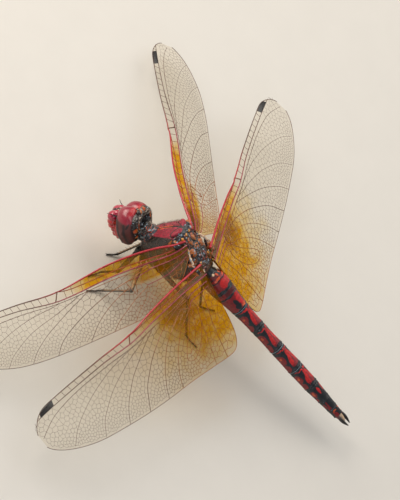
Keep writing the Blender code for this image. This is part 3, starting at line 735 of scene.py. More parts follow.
def trunk_masks(points):
    """Where each colour of the trunk lies."""
    x, y, z = points.T
    away = np.abs(x)
    masks = {}
    front = band(y, -11.5, -8.75, 0.25)
    reach = np.interp(z, (-1.3, -0.9, -0.3, 2.0, 3.2, 5.0), (0.3, 1.0, 1.5, 2.1, 2.35, 2.4))
    masks["crimson"] = np.minimum(front, np.minimum(band(away, 0.2, reach, 0.3), band(z, -1.15, 9, 0.3)))
    masks["stripe"] = np.minimum(front, np.minimum(band(away, 0.12, 0.32, 0.12), band(y, -11, -9.9, 0.4)))
    side = np.minimum(band(y, -9.2, -1.0, 0.5), band(z, -4.6, 1.9, 0.8))
    slant = y + 0.35 * z
    strips = np.maximum(band(slant, -8.3, -6.9, 0.4), band(slant, -5.6, -4.2, 0.4))
    masks["flank"] = np.minimum(side, np.maximum(strips, band(slant, -3.0, -1.9, 0.4)))
    masks["collar"] = band(y, -14, -11.0 - 0.25 * (z < -2.5), 0.3)
    masks["curl"] = masks["collar"] * flecks(points, 0.75, -0.07, 0.07, 0.06, 1)
    # painted highlight: pale blue-grey glints flecked over the collar
    masks["collar_glints"] = masks["collar"] * flecks(points, 0.5, 0.2, 1.0, 0.15, 2)
    ground = band(y, -7.3, -0.7, 0.3) * band(away, -1, 2.3, 0.3) * band(z, 1.0, 5, 0.4)
    masks["umber"] = ground
    for name in ("slate", "amber", "orange", "cream", "rust", "ember", "groove"):
        masks[name] = np.zeros(len(points))
    for centre, reach, turn, mask in back_lumps():
        q, flat = nearness(points, centre, reach, turn)
        masks[mask] = np.maximum(masks[mask], np.clip((1.08 - q) / 0.3 + 0.5, 0, 1))
        if mask in ("rust", "orange"):
            # painted highlight: a bright rim round each rust and orange plate, broken up by noise
            lit = np.clip(1 - np.abs(flat - 0.86) / 0.14, 0, 1) * band(q, -1, 1.15, 0.1)
            masks["ember"] = np.maximum(masks["ember"], lit * flecks(points, 0.9, -0.05, 1, 0.2, 3))
        rim = np.clip(1 - np.abs(q - 1.22) / 0.2, 0, 1) * band(q, 1.0, 1.5, 0.2)
        masks["groove"] = np.maximum(masks["groove"], rim * (reach[0] > 0.25))
    for route in BACK_CORDS:
        for a, b in zip(route, route[1:]):
            a, b = np.array(a), np.array(b)
            place = np.column_stack((away, y, z))
            f = np.clip(((place - a) @ (b - a)) / ((b - a) @ (b - a)), 0, 1)[:, None]
            near = np.linalg.norm(place - (a + f * (b - a)), axis=1)
            masks["cream"] = np.maximum(masks["cream"], np.clip((0.28 - near) / 0.1 + 0.5, 0, 1))
    hinges = band(away, 1.9, 3.9, 0.3) * band(z, 1.4, 5, 0.4) * band(y, -8.9, -0.9, 0.3)
    masks["hinge"] = hinges * flecks(points, 0.7, 0.0, 1.0, 0.15, 4)
    back = band(y, -8.8, -0.8, 0.3) * band(z, 1.2, 5, 0.4)
    # painted highlight: blue-grey glints flecked over the back
    masks["glint_flecks"] = back * flecks(points, 0.42, 0.36, 1.0, 0.12, 5)
    masks["pit"] = back * flecks(points, 0.55, -1.0, -0.28, 0.12, 6)
    return masks


def add_trunk():
    """Fuses the trunk's shapes into one skin and colours it."""
    points, normals, faces = fused(trunk_form(), sizes().skin_step / MM, 2)
    masks = trunk_masks(points)
    x, y, z = points.T
    slot = band(np.abs(x), -1, 0.1, 0.12) * band(y, -10.5, -9.2, 0.4) * (z > -1)
    rough = (bumps(points, 0.5) + 0.6 * bumps(points, 0.22)) * 0.07
    rough = rough * band(y, -8.8, -0.8, 0.4) * band(z, 1.0, 5, 0.4)
    depth = 0.08 * masks["groove"] + 0.16 * slot + 0.05 * masks["pit"]
    points = points + normals * (rough - depth)[:, None]
    points[:, 2] = np.minimum(points[:, 2], CREST)
    masks["shut"] = slot
    form = Form()
    form.add((points, faces), **masks)
    # hard chitin grown in plates; the fronts are felted with tiny hairs and look like velvet; the
    # blue-grey flecks on the back and the collar are painted glints, and the bright rims of the back's
    # plates a painted highlight
    skin = cuticle(
        "plated and downy chitin of the thorax",
        "jet",
        (
            ("flank", "rust"), "umber", "crimson", ("stripe", "ember"), ("collar", "slate"),
            ("hinge", "orange"), "slate", "rust", "orange", "amber", "cream", "ember",
            ("glint_flecks", "glint"), ("collar_glints", "glint"), ("curl", "ember"), ("pit", "jet"),
            ("groove", "jet"), ("shut", "jet"),
        ),
        roughness=0.34, coat=0.3, mottle=0.5, mottle_size=0.3, relief=0.035, relief_size=0.12,
        raggedness=0.5, ragged_size=0.3, sheen=0.1, velvet="crimson",
    )
    make_piece("trunk_skin", form, skin, ("thorax", "prothorax", "neck"), 180)


# Head, with the fineness of its fused skins in mm

SKULL_STEP = 0.075
FACE_STEP = 0.07
LIP_STEP = 0.08


def head_matrix():
    """From the head's own millimetres to the body's."""
    return Matrix.Translation(HEAD_PLACE) @ rotation(HEAD_TURN).to_4x4()


def turned(shape, matrix):
    """A shape moved by a matrix."""
    points, faces = shape
    return [matrix @ Vector(point) for point in points], faces


# Outline of an eye from the crown outward: x, top, bottom, front and back
EYE_OUTLINE = (
    (0.1, 2.85, 2.0, -1.2, 0.75), (0.5, 3.08, 1.7, -1.6, 1.05), (1.0, 3.2, 1.1, -1.82, 1.22),
    (1.6, 3.18, -0.9, -2.0, 1.32), (2.2, 2.92, -2.7, -2.05, 1.34), (2.8, 2.42, -2.85, -1.85, 1.44),
    (3.4, 1.55, -1.95, -1.4, 1.22), (3.75, 0.75, -0.95, -0.8, 0.75), (4.0, 0.25, -0.45, -0.4, 0.15),
)
# Where the dark slot of an eye lies, back and up
SLOT_PLACE = (0.68, 1.02)
# The head leans a little to its right, so the right eye sits lower and further back
EYE_SETTLE = (0, 0.15, -0.48)


def eye_shape(side):
    """One eye, with rows of points round it, and the masks of its lower part, slot and rims."""
    rings = []
    masks = {name: [] for name in ("low", "slot", "rim", "bar", "top")}
    steps = 56
    sides = 72
    inner, outer = EYE_OUTLINE[0][0], EYE_OUTLINE[-1][0]
    for i in range(steps + 1):
        x = inner + (outer - inner) * (1 - math.cos(math.pi * i / steps)) / 2
        top, bottom, front, back = through(EYE_OUTLINE, x)
        half_height, half_depth = (top - bottom) / 2, (back - front) / 2
        centre = Vector((side * x, (front + back) / 2, (top + bottom) / 2))
        ring = section(centre, BACKWARD, UP, half_depth, half_height, half_height, sides, 2.2)
        rings.append(ring)
        for point in ring:
            border = 1.45 - 0.1 * point.y + 0.28 * max(-point.y, 0)
            low = float(band(point.z, -9, border, 0.45))
            masks["low"].append(low)
            behind, above = point.y - SLOT_PLACE[0], point.z - SLOT_PLACE[1]
            along, across = behind * 0.57 + above * 0.82, behind * 0.82 - above * 0.57
            masks["slot"].append(float(spot(along, across, (0, 0), (0.5, 0.17), 0.6)) if x > 1.6 else 0.0)
            rear = (point.y - centre.y) / max(half_depth, 0.01)
            thin = smooth_step((1.2 - point.z) / 0.6) * smooth_step((3.0 - x) / 0.3)
            masks["rim"].append(float(band(rear, 0.985, 2, 0.02)) * thin)
            bars = math.sin(point.y * 4.6 + 0.35 * point.z + 0.9) + 0.4 * math.sin(point.y * 11)
            masks["bar"].append(low * (0.42 + 0.42 * bars))
            # painted highlight: the upper rear of the eye, painted a brighter red
            masks["top"].append(float(band(rear, 0.55, 2, 0.5)) * smooth_step((point.z - 1.9) / 0.7))
    return lofted(rings), masks


def add_eyes():
    """Two large eyes that meet on the crown."""
    # living lens: thousands of clear facets over deep pigment, so its gleam is broad and soft; the
    # facets are about 0.04 mm wide and drawn at 0.07, as they are too fine to show
    lens = cuticle(
        "faceted lens of the eye",
        "lens",
        (
            ("top", "lens_top"), ("low", "lens_low"), ("bar", "lens_dark"), ("slot", "lens_dark"),
            ("rim", "hair_pale"),
        ),
        roughness=0.33, coat=0.5, mottle=0.16, mottle_size=0.9, relief=0.003, relief_size=0.07,
        raggedness=0.2, edge=0.4, velvet="low", gleam=0.24,
    )
    for name, side in SIDES.items():
        shape, masks = eye_shape(side)
        form = Form()
        settle = Matrix.Translation(EYE_SETTLE if side < 0 else (0, 0, 0))
        form.add(turned(shape, head_matrix() @ settle), **masks)
        make_piece(f"eye_{name}_lens", form, lens, ("eye_" + name,), 180)


# Outline of the back of the head from front to back: y, top, bottom and half width
SKULL_OUTLINE = (
    (-2.35, 1.8, 1.35, 0.5), (-2.0, 2.1, 0.4, 0.8), (-1.6, 2.2, -1.8, 1.3), (-0.8, 2.25, -2.5, 2.0),
    (0.2, 2.3, -2.4, 2.6), (1.1, 2.35, -1.9, 3.05), (1.75, 2.1, -1.4, 2.9), (2.05, 1.5, -0.9, 2.3),
)
SKULL_LUMPS = (
    ((0.62, 1.62, 2.25), (0.66, 0.42, 0.5), (10, 0, 0)),
    ((1.75, 1.7, 1.45), (0.5, 0.35, 0.42), (10, 20, 0)),
    ((2.35, 1.45, 0.6), (0.5, 0.35, 0.8), (0, 20, 0)),
    ((2.15, 1.3, -1.0), (0.55, 0.4, 0.7), (0, -15, 0)),
    ((0, -2.2, 1.65), (0.6, 0.45, 0.5), (0, 0, 0)),
)


def add_skull():
    """The back of the head with its hollow, the crown between the eyes and the three ocelli."""
    form = Form()
    rings = []
    first, last = SKULL_OUTLINE[0][0], SKULL_OUTLINE[-1][0]
    for i in range(33):
        y = first + (last - first) * i / 32
        top, bottom, half_width = through(SKULL_OUTLINE, y)
        half = (top - bottom) / 2
        centre = Vector((0, y, (top + bottom) / 2))
        rings.append(section(centre, LEFT, UP, half_width, half, half, 56, 2.2))
    for depth, share in ((1.95, 0.8), (1.5, 0.68), (0.9, 0.55), (0.6, 0.25)):
        top, bottom, half_width = through(SKULL_OUTLINE, last)
        half = (top - bottom) / 2 * share
        centre = Vector((0, depth, (top + bottom) / 2 - 0.1))
        rings.append(section(centre, LEFT, UP, half_width * share, half, half, 56, 2.2))
    form.add(lofted(rings))
    form.swell(SKULL_LUMPS)
    points, normals, faces = fused(form, SKULL_STEP, 2)
    x, y, z = points.T
    away = np.abs(x)
    rear = band(y, 1.0, 9, 0.3)
    orange = np.maximum.reduce([
        spot(away, z, (0.5, 2.3), (0.3, 0.42)),
        spot(away, z, (2.0, 0.4), (0.16, 0.6)),
        spot(away, z, (2.75, 0.0), (0.3, 0.42)),
        spot(away, z, (2.4, -1.4), (0.25, 0.35)),
    ])
    pale = np.maximum.reduce([
        spot(away, z, (0.05, 2.4), (0.12, 0.25)),
        spot(away, z, (1.77, 1.15), (0.1, 0.4)),
        spot(away, z, (1.2, 1.6), (0.5, 0.1)),
        spot(away, z, (1.3, 0.9), (0.4, 0.1)),
    ])
    masks = {
        "orange": orange * rear,
        "pale": pale * rear,
        "ember": orange * rear * flecks(points, 0.35, 0.1, 1, 0.15, 1),
        # painted highlight: blue-grey glints flecked over the rear of the head
        "glint_flecks": band(y, 1.2, 9, 0.3) * flecks(points, 0.3, 0.38, 1, 0.12, 2),
    }
    rough = bumps(points, 0.35) * 0.06 * rear
    points = points + normals * rough[:, None]
    skin = Form()
    skin.add(turned((points, faces), head_matrix()), **masks)
    for place, size in (((0, -2.62, 1.5), 0.16), ((0.36, -2.4, 1.92), 0.14), ((-0.36, -2.4, 1.92), 0.14)):
        skin.add(turned(lump(place, (size, size, size), (0, 0, 0), 10, 14), head_matrix()), ocellus=1.0)
    # thin hard chitin, glossy where it is bare, with painted highlights: blue-grey glints flecked over its
    # rear
    shell = cuticle(
        "bristled chitin of the back of the head",
        "jet",
        (("glint_flecks", "glint"), "orange", "ember", ("pale", "hair_pale"), ("ocellus", "cream")),
        roughness=0.36, coat=0.2, relief=0.03, relief_size=0.15, raggedness=0.6, ragged_size=0.25,
    )
    make_piece("head_skin", skin, shell, ("head",), 180)


# Swellings of the face from the brow down, each a place, reach and turn in the head's own mm
FACE_LUMPS = (
    ((0.83, -3.18, 1.0), (1.0, 1.02, 0.92), (10, 0, -10)),
    ((0.78, -2.55, 1.5), (0.68, 0.66, 0.6), (0, 0, 0)),
    ((0.7, -3.35, 0.15), (1.2, 1.0, 0.75), (0, 0, -8)),
    ((0.6, -3.35, -0.6), (1.25, 1.0, 0.62), (0, 0, -8)),
    ((0, -3.15, -1.35), (1.75, 1.05, 0.5), (0, 0, 0)),
    ((0, -3.05, -2.15), (1.62, 1.05, 0.75), (8, 0, 0)),
    ((0, -2.8, -2.92), (1.28, 0.8, 0.5), (15, 0, 0)),
    ((1.35, -2.4, -1.6), (0.42, 0.9, 1.3), (0, 0, 0)),
)
LIP_LUMPS = (
    ((0, -1.2, -3.55), (1.15, 1.3, 0.3), (0, 0, 0)),
    ((0.75, -1.6, -3.62), (0.75, 0.95, 0.28), (0, 0, 0)),
    ((0, -0.35, -3.1), (0.8, 0.7, 0.35), (0, 0, 0)),
)


def add_face():
    """Two swollen lobes of the brow, the plates below them and the upper lip."""
    form = Form()
    form.swell(FACE_LUMPS, 20, 28)
    points, normals, faces = fused(form, FACE_STEP, 2)
    x, _, z = points.T
    away = np.abs(x)
    seams = np.maximum(band(z, -0.28, -0.2, 0.08), band(z, -1.02, -0.94, 0.08))
    points = points - normals * (0.06 * seams * band(away, -1, 1.7, 0.4))[:, None]
    masks = {
        "brow": band(z, 0.6, 9, 0.5),
        "nose": np.minimum(band(z, -1.0, 0.45, 0.5), band(away, -1, 1.6, 0.6)),
        "ink": np.maximum.reduce([
            band(z, -9, -3.05, 0.2),
            np.minimum(band(away, -1, 0.1, 0.1), band(z, 0.9, 9, 0.2)),
            np.minimum(band(z, 1.35, 9, 0.2), band(away, -1, 0.3, 0.2)),
        ]),
    }
    skin = Form()
    skin.add(turned((points, faces), head_matrix()), **masks)
    # smooth swollen chitin, as glossy as enamel, with the red of the blood under it
    shell = cuticle(
        "enamel-smooth chitin of the face",
        "face",
        ("brow", "nose", ("ink", "jet")),
        roughness=0.22, coat=0.7, mottle=0.2, relief=0.006, relief_size=0.12, edge=0.3,
    )
    make_piece("face_plates", skin, shell, ("face",), 180)


def add_mouth_and_feelers():
    """The lower lip, folded up under the head in three lobes, and the two bristle-like feelers."""
    matrix = head_matrix()
    form = Form()
    form.swell(LIP_LUMPS)
    points, _, faces = fused(form, LIP_STEP, 2)
    skin = Form()
    pale = spot(points[:, 0], points[:, 1], (0, -1.6), (0.25, 1.0))
    skin.add(turned((points, faces), matrix), pale=pale)
    # leathery chitin, dull because it folds and slides
    lip = cuticle("leathery chitin of the lower lip", "jet", (("pale", "rust"),), relief=0.02)
    make_piece("lower_lip", skin, lip, ("labium",), 180)
    # thin hard tubes, drawn out as they grew: nearly black with a narrow gleam
    bristle = cuticle("wiry chitin of the feelers", "jet", (), roughness=0.4)
    for name, side in SIDES.items():
        foot = Vector((side * 1.2, -2.15, 1.15))
        joint = foot + Vector((side * 0.25, -0.4, 0.35))
        tip = joint + Vector((side * 0.75, -0.95, 0.75))
        middle = joint.lerp(tip, 0.5) + Vector((0, -0.12, 0.08))
        route = [foot, foot.lerp(joint, 0.6), joint, joint.lerp(middle, 0.5), middle]
        route += [middle.lerp(tip, 0.5), tip]
        form = Form()
        form.add(turned(tube(route, [0.2, 0.19, 0.11, 0.08, 0.065, 0.05, 0.03], 8), matrix))
        make_piece(f"feeler_{name}", form, bristle, ("antenna_" + name,))


# Abdomen


def abdomen_axis():
    """The way the abdomen points from its root, and its own left and up."""
    turn = rotation((-ABDOMEN_DROOP, 0, -ABDOMEN_SWING))
    return turn @ BACKWARD, turn @ LEFT, turn @ UP


def segment_at(distance):
    """The number of the segment at a distance, and the part of its length there."""
    start = 0.0
    for number, end in enumerate(SEGMENT_ENDS, 1):
        if distance <= end or number == len(SEGMENT_ENDS):
            return number, min(max((distance - start) / (end - start), 0.0), 1.0)
        start = end


ABDOMEN_MARKS = ("red", "wine", "bright", "pale", "dusk", "ember", "line")


def abdomen_marks(number, f, low):
    """How red, bright, pale and dark the shell is on a segment, at a part of its length and at
    degrees round from the middle of the back."""
    turn = abs(low)
    marks = {name: 0.0 for name in ABDOMEN_MARKS}
    ring = band(f, -1, 0.05, 0.04) + band(f, 0.94, 2, 0.04)
    if number == 1:
        # painted highlight: a pale cream spot on the first ring
        marks["pale"] = spot(f, turn, (0.3, 29), (0.24, 9))
        marks["ember"] = spot(f, turn, (0.62, 10), (0.26, 4))
        marks["dusk"] = band(f, 0.3, 0.95, 0.1) * band(turn, 15, 100, 20)
    elif number == 2:
        waist = band(f, 0.17, 0.25, 0.04) * band(turn, -1, 110, 10)
        marks["red"] = band(f, 0.0, 0.84, 0.05) * band(turn, -1, 118, 14) * (1 - waist)
        marks["bright"] = spot(f, turn, (0.55, 12), (0.26, 30))
        marks["ember"] = spot(f, turn, (0.1, 30), (0.08, 22))
        marks["dusk"] = spot(f, turn, (0.5, 88), (0.3, 24))
        ring = band(f, 0.86, 2, 0.05)
    elif number == 3:
        sides = band(f, 0.06, 0.26, 0.05) * band(turn, 55, 122, 16)
        rear = band(f, 0.33, 0.93, 0.04) * band(turn, -1, 125, 14)
        blot = max(spot(f, turn, (0.62, 33), (0.14, 13)), spot(f, turn, (0.8, 40), (0.12, 18)))
        marks["red"] = max(sides, rear) * (1 - band(f, 0.27, 0.31, 0.025)) * (1 - blot)
        front = band(f, 0.05, 0.25, 0.05) * band(turn, -1, 58, 16)
        marks["dusk"] = max(front, spot(f, turn, (0.42, 60), (0.1, 22)))
        marks["bright"] = spot(f, turn, (0.6, 8), (0.3, 11)) * (1 - blot)
        marks["ember"] = spot(f, turn, (0.88, 4), (0.05, 16))
    elif number <= 7:
        shrink = 1 - 0.07 * (number - 4)
        slit = band(f, 0.07, 0.16 - 0.0009 * turn, 0.03) * band(turn, 4, 80, 10)
        patch = spot(f, turn, (0.4, 82), (0.2, 30 * shrink), 0.3)
        away = 4 + 30 * (f - 0.16) / 0.6
        half = 6 + 15 * f * smooth_step((0.86 - f) / 0.25)
        streak = band(turn, away - half, away + half, 6) * band(f, 0.16, 0.84, 0.05)
        tail = spot(f, turn, (0.8, 84), (0.15, 22), 0.5)
        margin = band(turn, 84, 124, 8) * band(f, 0.2, 0.92, 0.08)
        marks["red"] = max(slit, patch, streak, tail, margin)
        marks["bright"] = max(streak * band(f, 0.1, 0.78, 0.06), slit * 0.8)
        wedge = band(turn, -1, away, 6) * band(f, 0.2, 0.84, 0.06)
        marks["dusk"] = spot(f, turn, (0.46, 70), (0.12, 17))
        marks["wine"] = wedge * (1 - streak)
        marks["ember"] = spot(f, turn, (0.36, 84), (0.07, 12), 0.8) * 0.7
    elif number == 8:
        oval = spot(f, turn, (0.36, 25), (0.24, 10))
        patch = spot(f, turn, (0.4, 82), (0.24, 24))
        marks["red"] = max(oval, patch, spot(f, turn, (0.78, 100), (0.14, 16)))
        marks["bright"] = oval
        marks["ember"] = spot(f, turn, (0.4, 82), (0.14, 12), 0.6) * 0.8
    elif number == 9:
        stem = band(turn, 46, 60, 5) * band(f, 0.15, 0.9, 0.08)
        arm = band(turn, 52 + 45 * (f - 0.5), 66 + 45 * (f - 0.5), 5) * band(f, 0.45, 0.95, 0.06)
        marks["red"] = max(stem, arm, spot(f, turn, (0.5, 88), (0.22, 14)))
    else:
        marks["red"] = max(spot(f, turn, (0.75, 55), (0.3, 26)), spot(f, turn, (0.3, 62), (0.2, 14)))
        marks["ember"] = spot(f, turn, (0.25, 40), (0.12, 26))
    for name in ("red", "wine", "dusk", "bright"):
        marks[name] *= 1 - min(ring, 1.0)
    marks["line"] = band(f, 0.0, 0.012, 0.012) if number > 2 else 0.0
    return marks


def bell(offset, width):
    """1 at no offset, falling off over a width."""
    return math.exp(-((offset / width) ** 2))


def abdomen_relief(number, f, angle):
    """Height of the shell over its plain outline: rings, keels and the cross ridges."""
    lift = -0.11 * bell(f, 0.035) - 0.11 * bell(1 - f, 0.02)
    lift += 0.05 * bell(f - 0.955, 0.03)
    lift += 0.04 * bell(math.degrees(angle) - 90, 5)
    for keel in (-18, 198):
        lift += 0.06 * bell((math.degrees(angle) - keel + 180) % 360 - 180, 6)
    if number in (2, 3):
        lift += 0.07 * bell(f - (0.21 if number == 2 else 0.29), 0.03)
    elif 4 <= number <= 8:
        lift += 0.03 * bell(f - 0.16, 0.02)
    return lift


def add_abdomen():
    """Ten segments under one skin, with a ring groove where each meets the next."""
    along, left, up = abdomen_axis()
    sides = 88
    step = 0.08
    start, end = -0.9, ABDOMEN_LENGTH
    count = round((end - start) / step)
    rings = []
    masks = {name: [] for name in ABDOMEN_MARKS}
    for i in range(count + 1):
        distance = start + (end - start) * i / count
        number, f = segment_at(distance)
        half_width, half_height = through(ABDOMEN_OUTLINE, max(distance, 0.0))
        half_width -= 0.25 * max(-distance, 0)
        half_height -= 0.25 * max(-distance, 0)
        waist = 1.0 - 0.03 * math.sin(math.pi * f)
        span = SEGMENT_ENDS[number - 1] - (SEGMENT_ENDS[number - 2] if number > 1 else 0)
        ring = []
        for k in range(sides):
            angle = 2 * math.pi * k / sides
            lift = abdomen_relief(number, f, angle)
            below = 0.95 if math.sin(angle) < 0 else 1.0
            x = (half_width * waist + lift) * math.cos(angle)
            z = (half_height * waist * below + lift) * math.sin(angle)
            ring.append(along * distance + left * x + up * z)
            low = math.degrees(math.atan2(math.cos(angle), math.sin(angle)))
            wander = noise.noise(Vector((distance * 1.1, low / 26, 3.1)))
            wander += 0.5 * noise.noise(Vector((distance * 2.7, low / 11, 6.4)))
            shift = noise.noise(Vector((distance * 1.1, low / 26, 9.7)))
            place = f + (0.26 * wander / span if 0.04 < f < 0.96 else 0)
            marks = abdomen_marks(number, place, low + 7 * shift)
            for name, values in masks.items():
                values.append(float(marks[name]))
        rings.append(ring)
    form = Form()
    form.add(lofted(rings), **masks)
    # hard chitin rings, satin: reds glow through it and the black ground is bluish; the pale spot on the
    # first ring is a painted highlight
    skin = cuticle(
        "satin chitin of the abdomen",
        "coal",
        ("wine", "dusk", "red", "bright", "ember", ("pale", "cream"), ("line", "glint")),
        roughness=0.36, coat=0.08, mottle=0.38, mottle_size=0.4, relief=0.014, relief_size=0.08,
        raggedness=0.45, ragged_size=0.3, edge=0.16,
    )
    nodes = [f"abdomen_{number}" for number in range(1, 11)]
    make_piece("abdomen_skin", form, skin, nodes, 180)


def add_claspers():
    """Two spindle-shaped claspers, the plate under them and the pale skin they spring from."""
    along, left, up = abdomen_axis()
    # hard pointed chitin, black and glossy, a little red at its root
    shell = cuticle("glossy chitin of the claspers", "jet", (("red", "dusk"),), roughness=0.3, coat=0.4)
    for name, sign in SIDES.items():
        points, radii = [], []
        for i in range(17):
            f = i / 16
            spread = 0.56 + 0.16 * math.sin(math.pi * f) - 0.24 * f
            distance = ABDOMEN_LENGTH - 0.15 + f * (CERCUS_LENGTH + 0.1)
            points.append(along * distance + left * sign * spread + up * (0.2 + 0.1 * f))
            radii.append(0.16 + 0.19 * math.sin(math.pi * min(f * 0.85 + 0.1, 1)) ** 1.2 - 0.1 * f)
        form = Form()
        form.add(tube(points, radii, 14), red=[smooth_step(1 - i // 14 / 6) for i in range(17 * 14)])
        make_piece(f"clasper_{name}", form, shell, ("cercus_" + name,), 60)
    form = Form()
    parts = (0, 0.3, 0.6, 0.85, 1)
    points = [along * (ABDOMEN_LENGTH - 0.2 + 1.6 * f) - up * (0.42 - 0.12 * f) for f in parts]
    form.add(tube(points, [0.5, 0.5, 0.42, 0.3, 0.16], 18, 0.5))
    # thin bent chitin, satin and dark red where the abdomen's colour runs out
    plate = cuticle("chitin of the plate under the claspers", "dusk", (), roughness=0.36)
    make_piece("clasper_plate", form, plate, ("epiproct",), 60)
    form = Form()
    points = [along * (ABDOMEN_LENGTH - 0.1 + 1.7 * f) + up * (0.28 - 0.1 * f) for f in (0, 0.35, 0.7, 1)]
    form.add(tube(points, [0.42, 0.38, 0.3, 0.1], 14, 0.8))
    # soft skin between hard plates, pale and only slightly moist
    soft = cuticle("soft skin between the claspers", "cream", (), roughness=0.45, coat=0.1)
    make_piece("clasper_skin", form, soft, (), 60)


# Legs


def limb(form, start, end, profile, sides=14, stripe=None):
    """One joint of a leg, swelling and narrowing along a profile of (part, radius), with a pale
    stripe along the side that faces the stripe's way."""
    rows = 16
    points = [start.lerp(end, i / rows) for i in range(rows + 1)]
    radii = [through(profile, i / rows)[0] for i in range(rows + 1)]
    shape = tube(points, radii, sides)
    lit = []
    for k, point in enumerate(shape[0]):
        f = (k // sides) / rows
        facing = (point - points[k // sides]).normalized().dot(stripe) if stripe else 0.0
        lit.append(smooth_step((facing - 0.45) / 0.4) * float(band(f, 0.04, 0.94, 0.1)))
    form.add(shape, stripe=lit)


def add_leg(name, joints, shell):
    """Hip, thigh, shin with its two combs of spines, and foot with its claws."""
    hip, knee, ankle, toe = (Vector(joint) for joint in joints)
    foot_level = -STANCE + 0.14
    heel = Vector((ankle.x, ankle.y, foot_level + 0.3))
    toe.z = foot_level
    ball = heel.lerp(toe, 0.45)
    ball.z = foot_level + 0.02
    form = Form()
    thigh = hip.lerp(knee, 0.16)
    outer = (knee - hip).cross(UP).normalized()
    if outer.x * hip.x < 0:
        outer = -outer
    lit = (outer * 0.7 + UP).normalized()
    limb(form, hip + UP * 0.5, thigh, ((0, 0.62), (0.5, 0.66), (1, 0.44)))
    form.add(lump(thigh, (0.5, 0.5, 0.5)))
    limb(form, thigh, knee, ((0, 0.4), (0.25, 0.44), (0.7, 0.36), (1, 0.3)), stripe=lit)
    form.add(lump(knee, (0.33, 0.33, 0.33)))
    limb(form, knee, heel, ((0, 0.29), (0.1, 0.22), (0.8, 0.19), (1, 0.22)), stripe=lit)
    foot = [heel, heel.lerp(ball, 0.5), ball, ball.lerp(toe, 0.55)]
    for a, b, r in zip(foot, foot[1:], (0.17, 0.15, 0.14)):
        limb(form, a, b, ((0, r * 0.8), (0.8, r), (1, r * 0.85)), 10)
    limb(form, foot[-1], toe, ((0, 0.12), (0.7, 0.13), (1, 0.13)), 10)
    # spines of the shin and thigh, in two rows each
    longest = sizes().spine / MM
    shin = (heel - knee).normalized()
    inner = (thigh - knee).normalized()
    bend = (inner - shin * inner.dot(shin)).normalized()
    beside = shin.cross(bend).normalized()
    for row in (1, -1):
        way = (bend * 0.75 + beside * row * 0.7).normalized()
        count = 9
        for i in range(count):
            f = 0.1 + 0.84 * i / (count - 1)
            root = knee.lerp(heel, f) + way * 0.12
            reach = longest * (1 - 0.6 * f)
            form.add(spine(root, root + (way * 0.8 + shin * 0.62).normalized() * reach, 0.045))
        for i in range(11):
            f = 0.15 + 0.8 * i / 10
            root = thigh.lerp(knee, f) + (beside * row * 0.6 - UP * 0.7).normalized() * 0.3
            way = (beside * row * 0.5 - UP - inner * 0.5).normalized()
            form.add(spine(root, root + way * 0.36, 0.035))
    ahead = (toe - heel).normalized()
    for row in (1, -1):
        side = (toe - heel).cross(UP).normalized() * row
        for i in range(7):
            root = heel.lerp(toe, 0.1 + 0.12 * i) + UP * 0.02
            tip = root + side * 0.26 + ahead * 0.16
            tip.z = max(tip.z, -STANCE + 0.02)
            form.add(spine(root, tip, 0.03))
        spread = side + ahead
        claw = [toe, toe + spread * 0.12 + UP * 0.06, toe + spread * 0.2 - UP * 0.06]
        form.add(tube(claw, [0.07, 0.05, 0.02], 6))
    for point in form.points:
        point.z = max(point.z, -STANCE)
    make_piece(name + "_shell", form, shell, (name,), 60)


def add_legs():
    """Six spiny legs, standing on their feet."""
    # hard tubes of chitin, dull with fine wrinkles; a tan stripe runs down each
    shell = cuticle(
        "spiny chitin of the legs",
        "leg",
        (("stripe", "leg_stripe"),),
        roughness=0.42, coat=0.15, relief=0.02, relief_size=0.12, raggedness=0.7, edge=0.35,
    )
    for name, joints in LEG_JOINTS.items():
        add_leg(name, joints, shell)


# Wings


def drawn_in(part, start, end, power):
    """What is left of an edge's reach as it rounds off from start to end."""
    f = min(max((part - start) / (end - start), 0.0), 1.0)
    return max(1 - f**power, 0.0) ** (1 / power)


def wing_edges(edges, ends, part):
    """Front and rear edge at a part of the wing's length, drawn in to a point at both ends."""
    front, rear = through(edges, part)
    if part < ends["root_to"]:
        root_at = ends["root_at"]
        return front, root_at + (rear - root_at) * drawn_in(part, ends["root_to"], edges[0][0], 3.8)
    tip_at = ends["tip_at"]
    front = tip_at + (front - tip_at) * drawn_in(part, ends["front_from"], 1.0, 2.2)
    rear = tip_at + (rear - tip_at) * drawn_in(part, ends["rear_from"], 1.0, 2.2)
    return front, rear


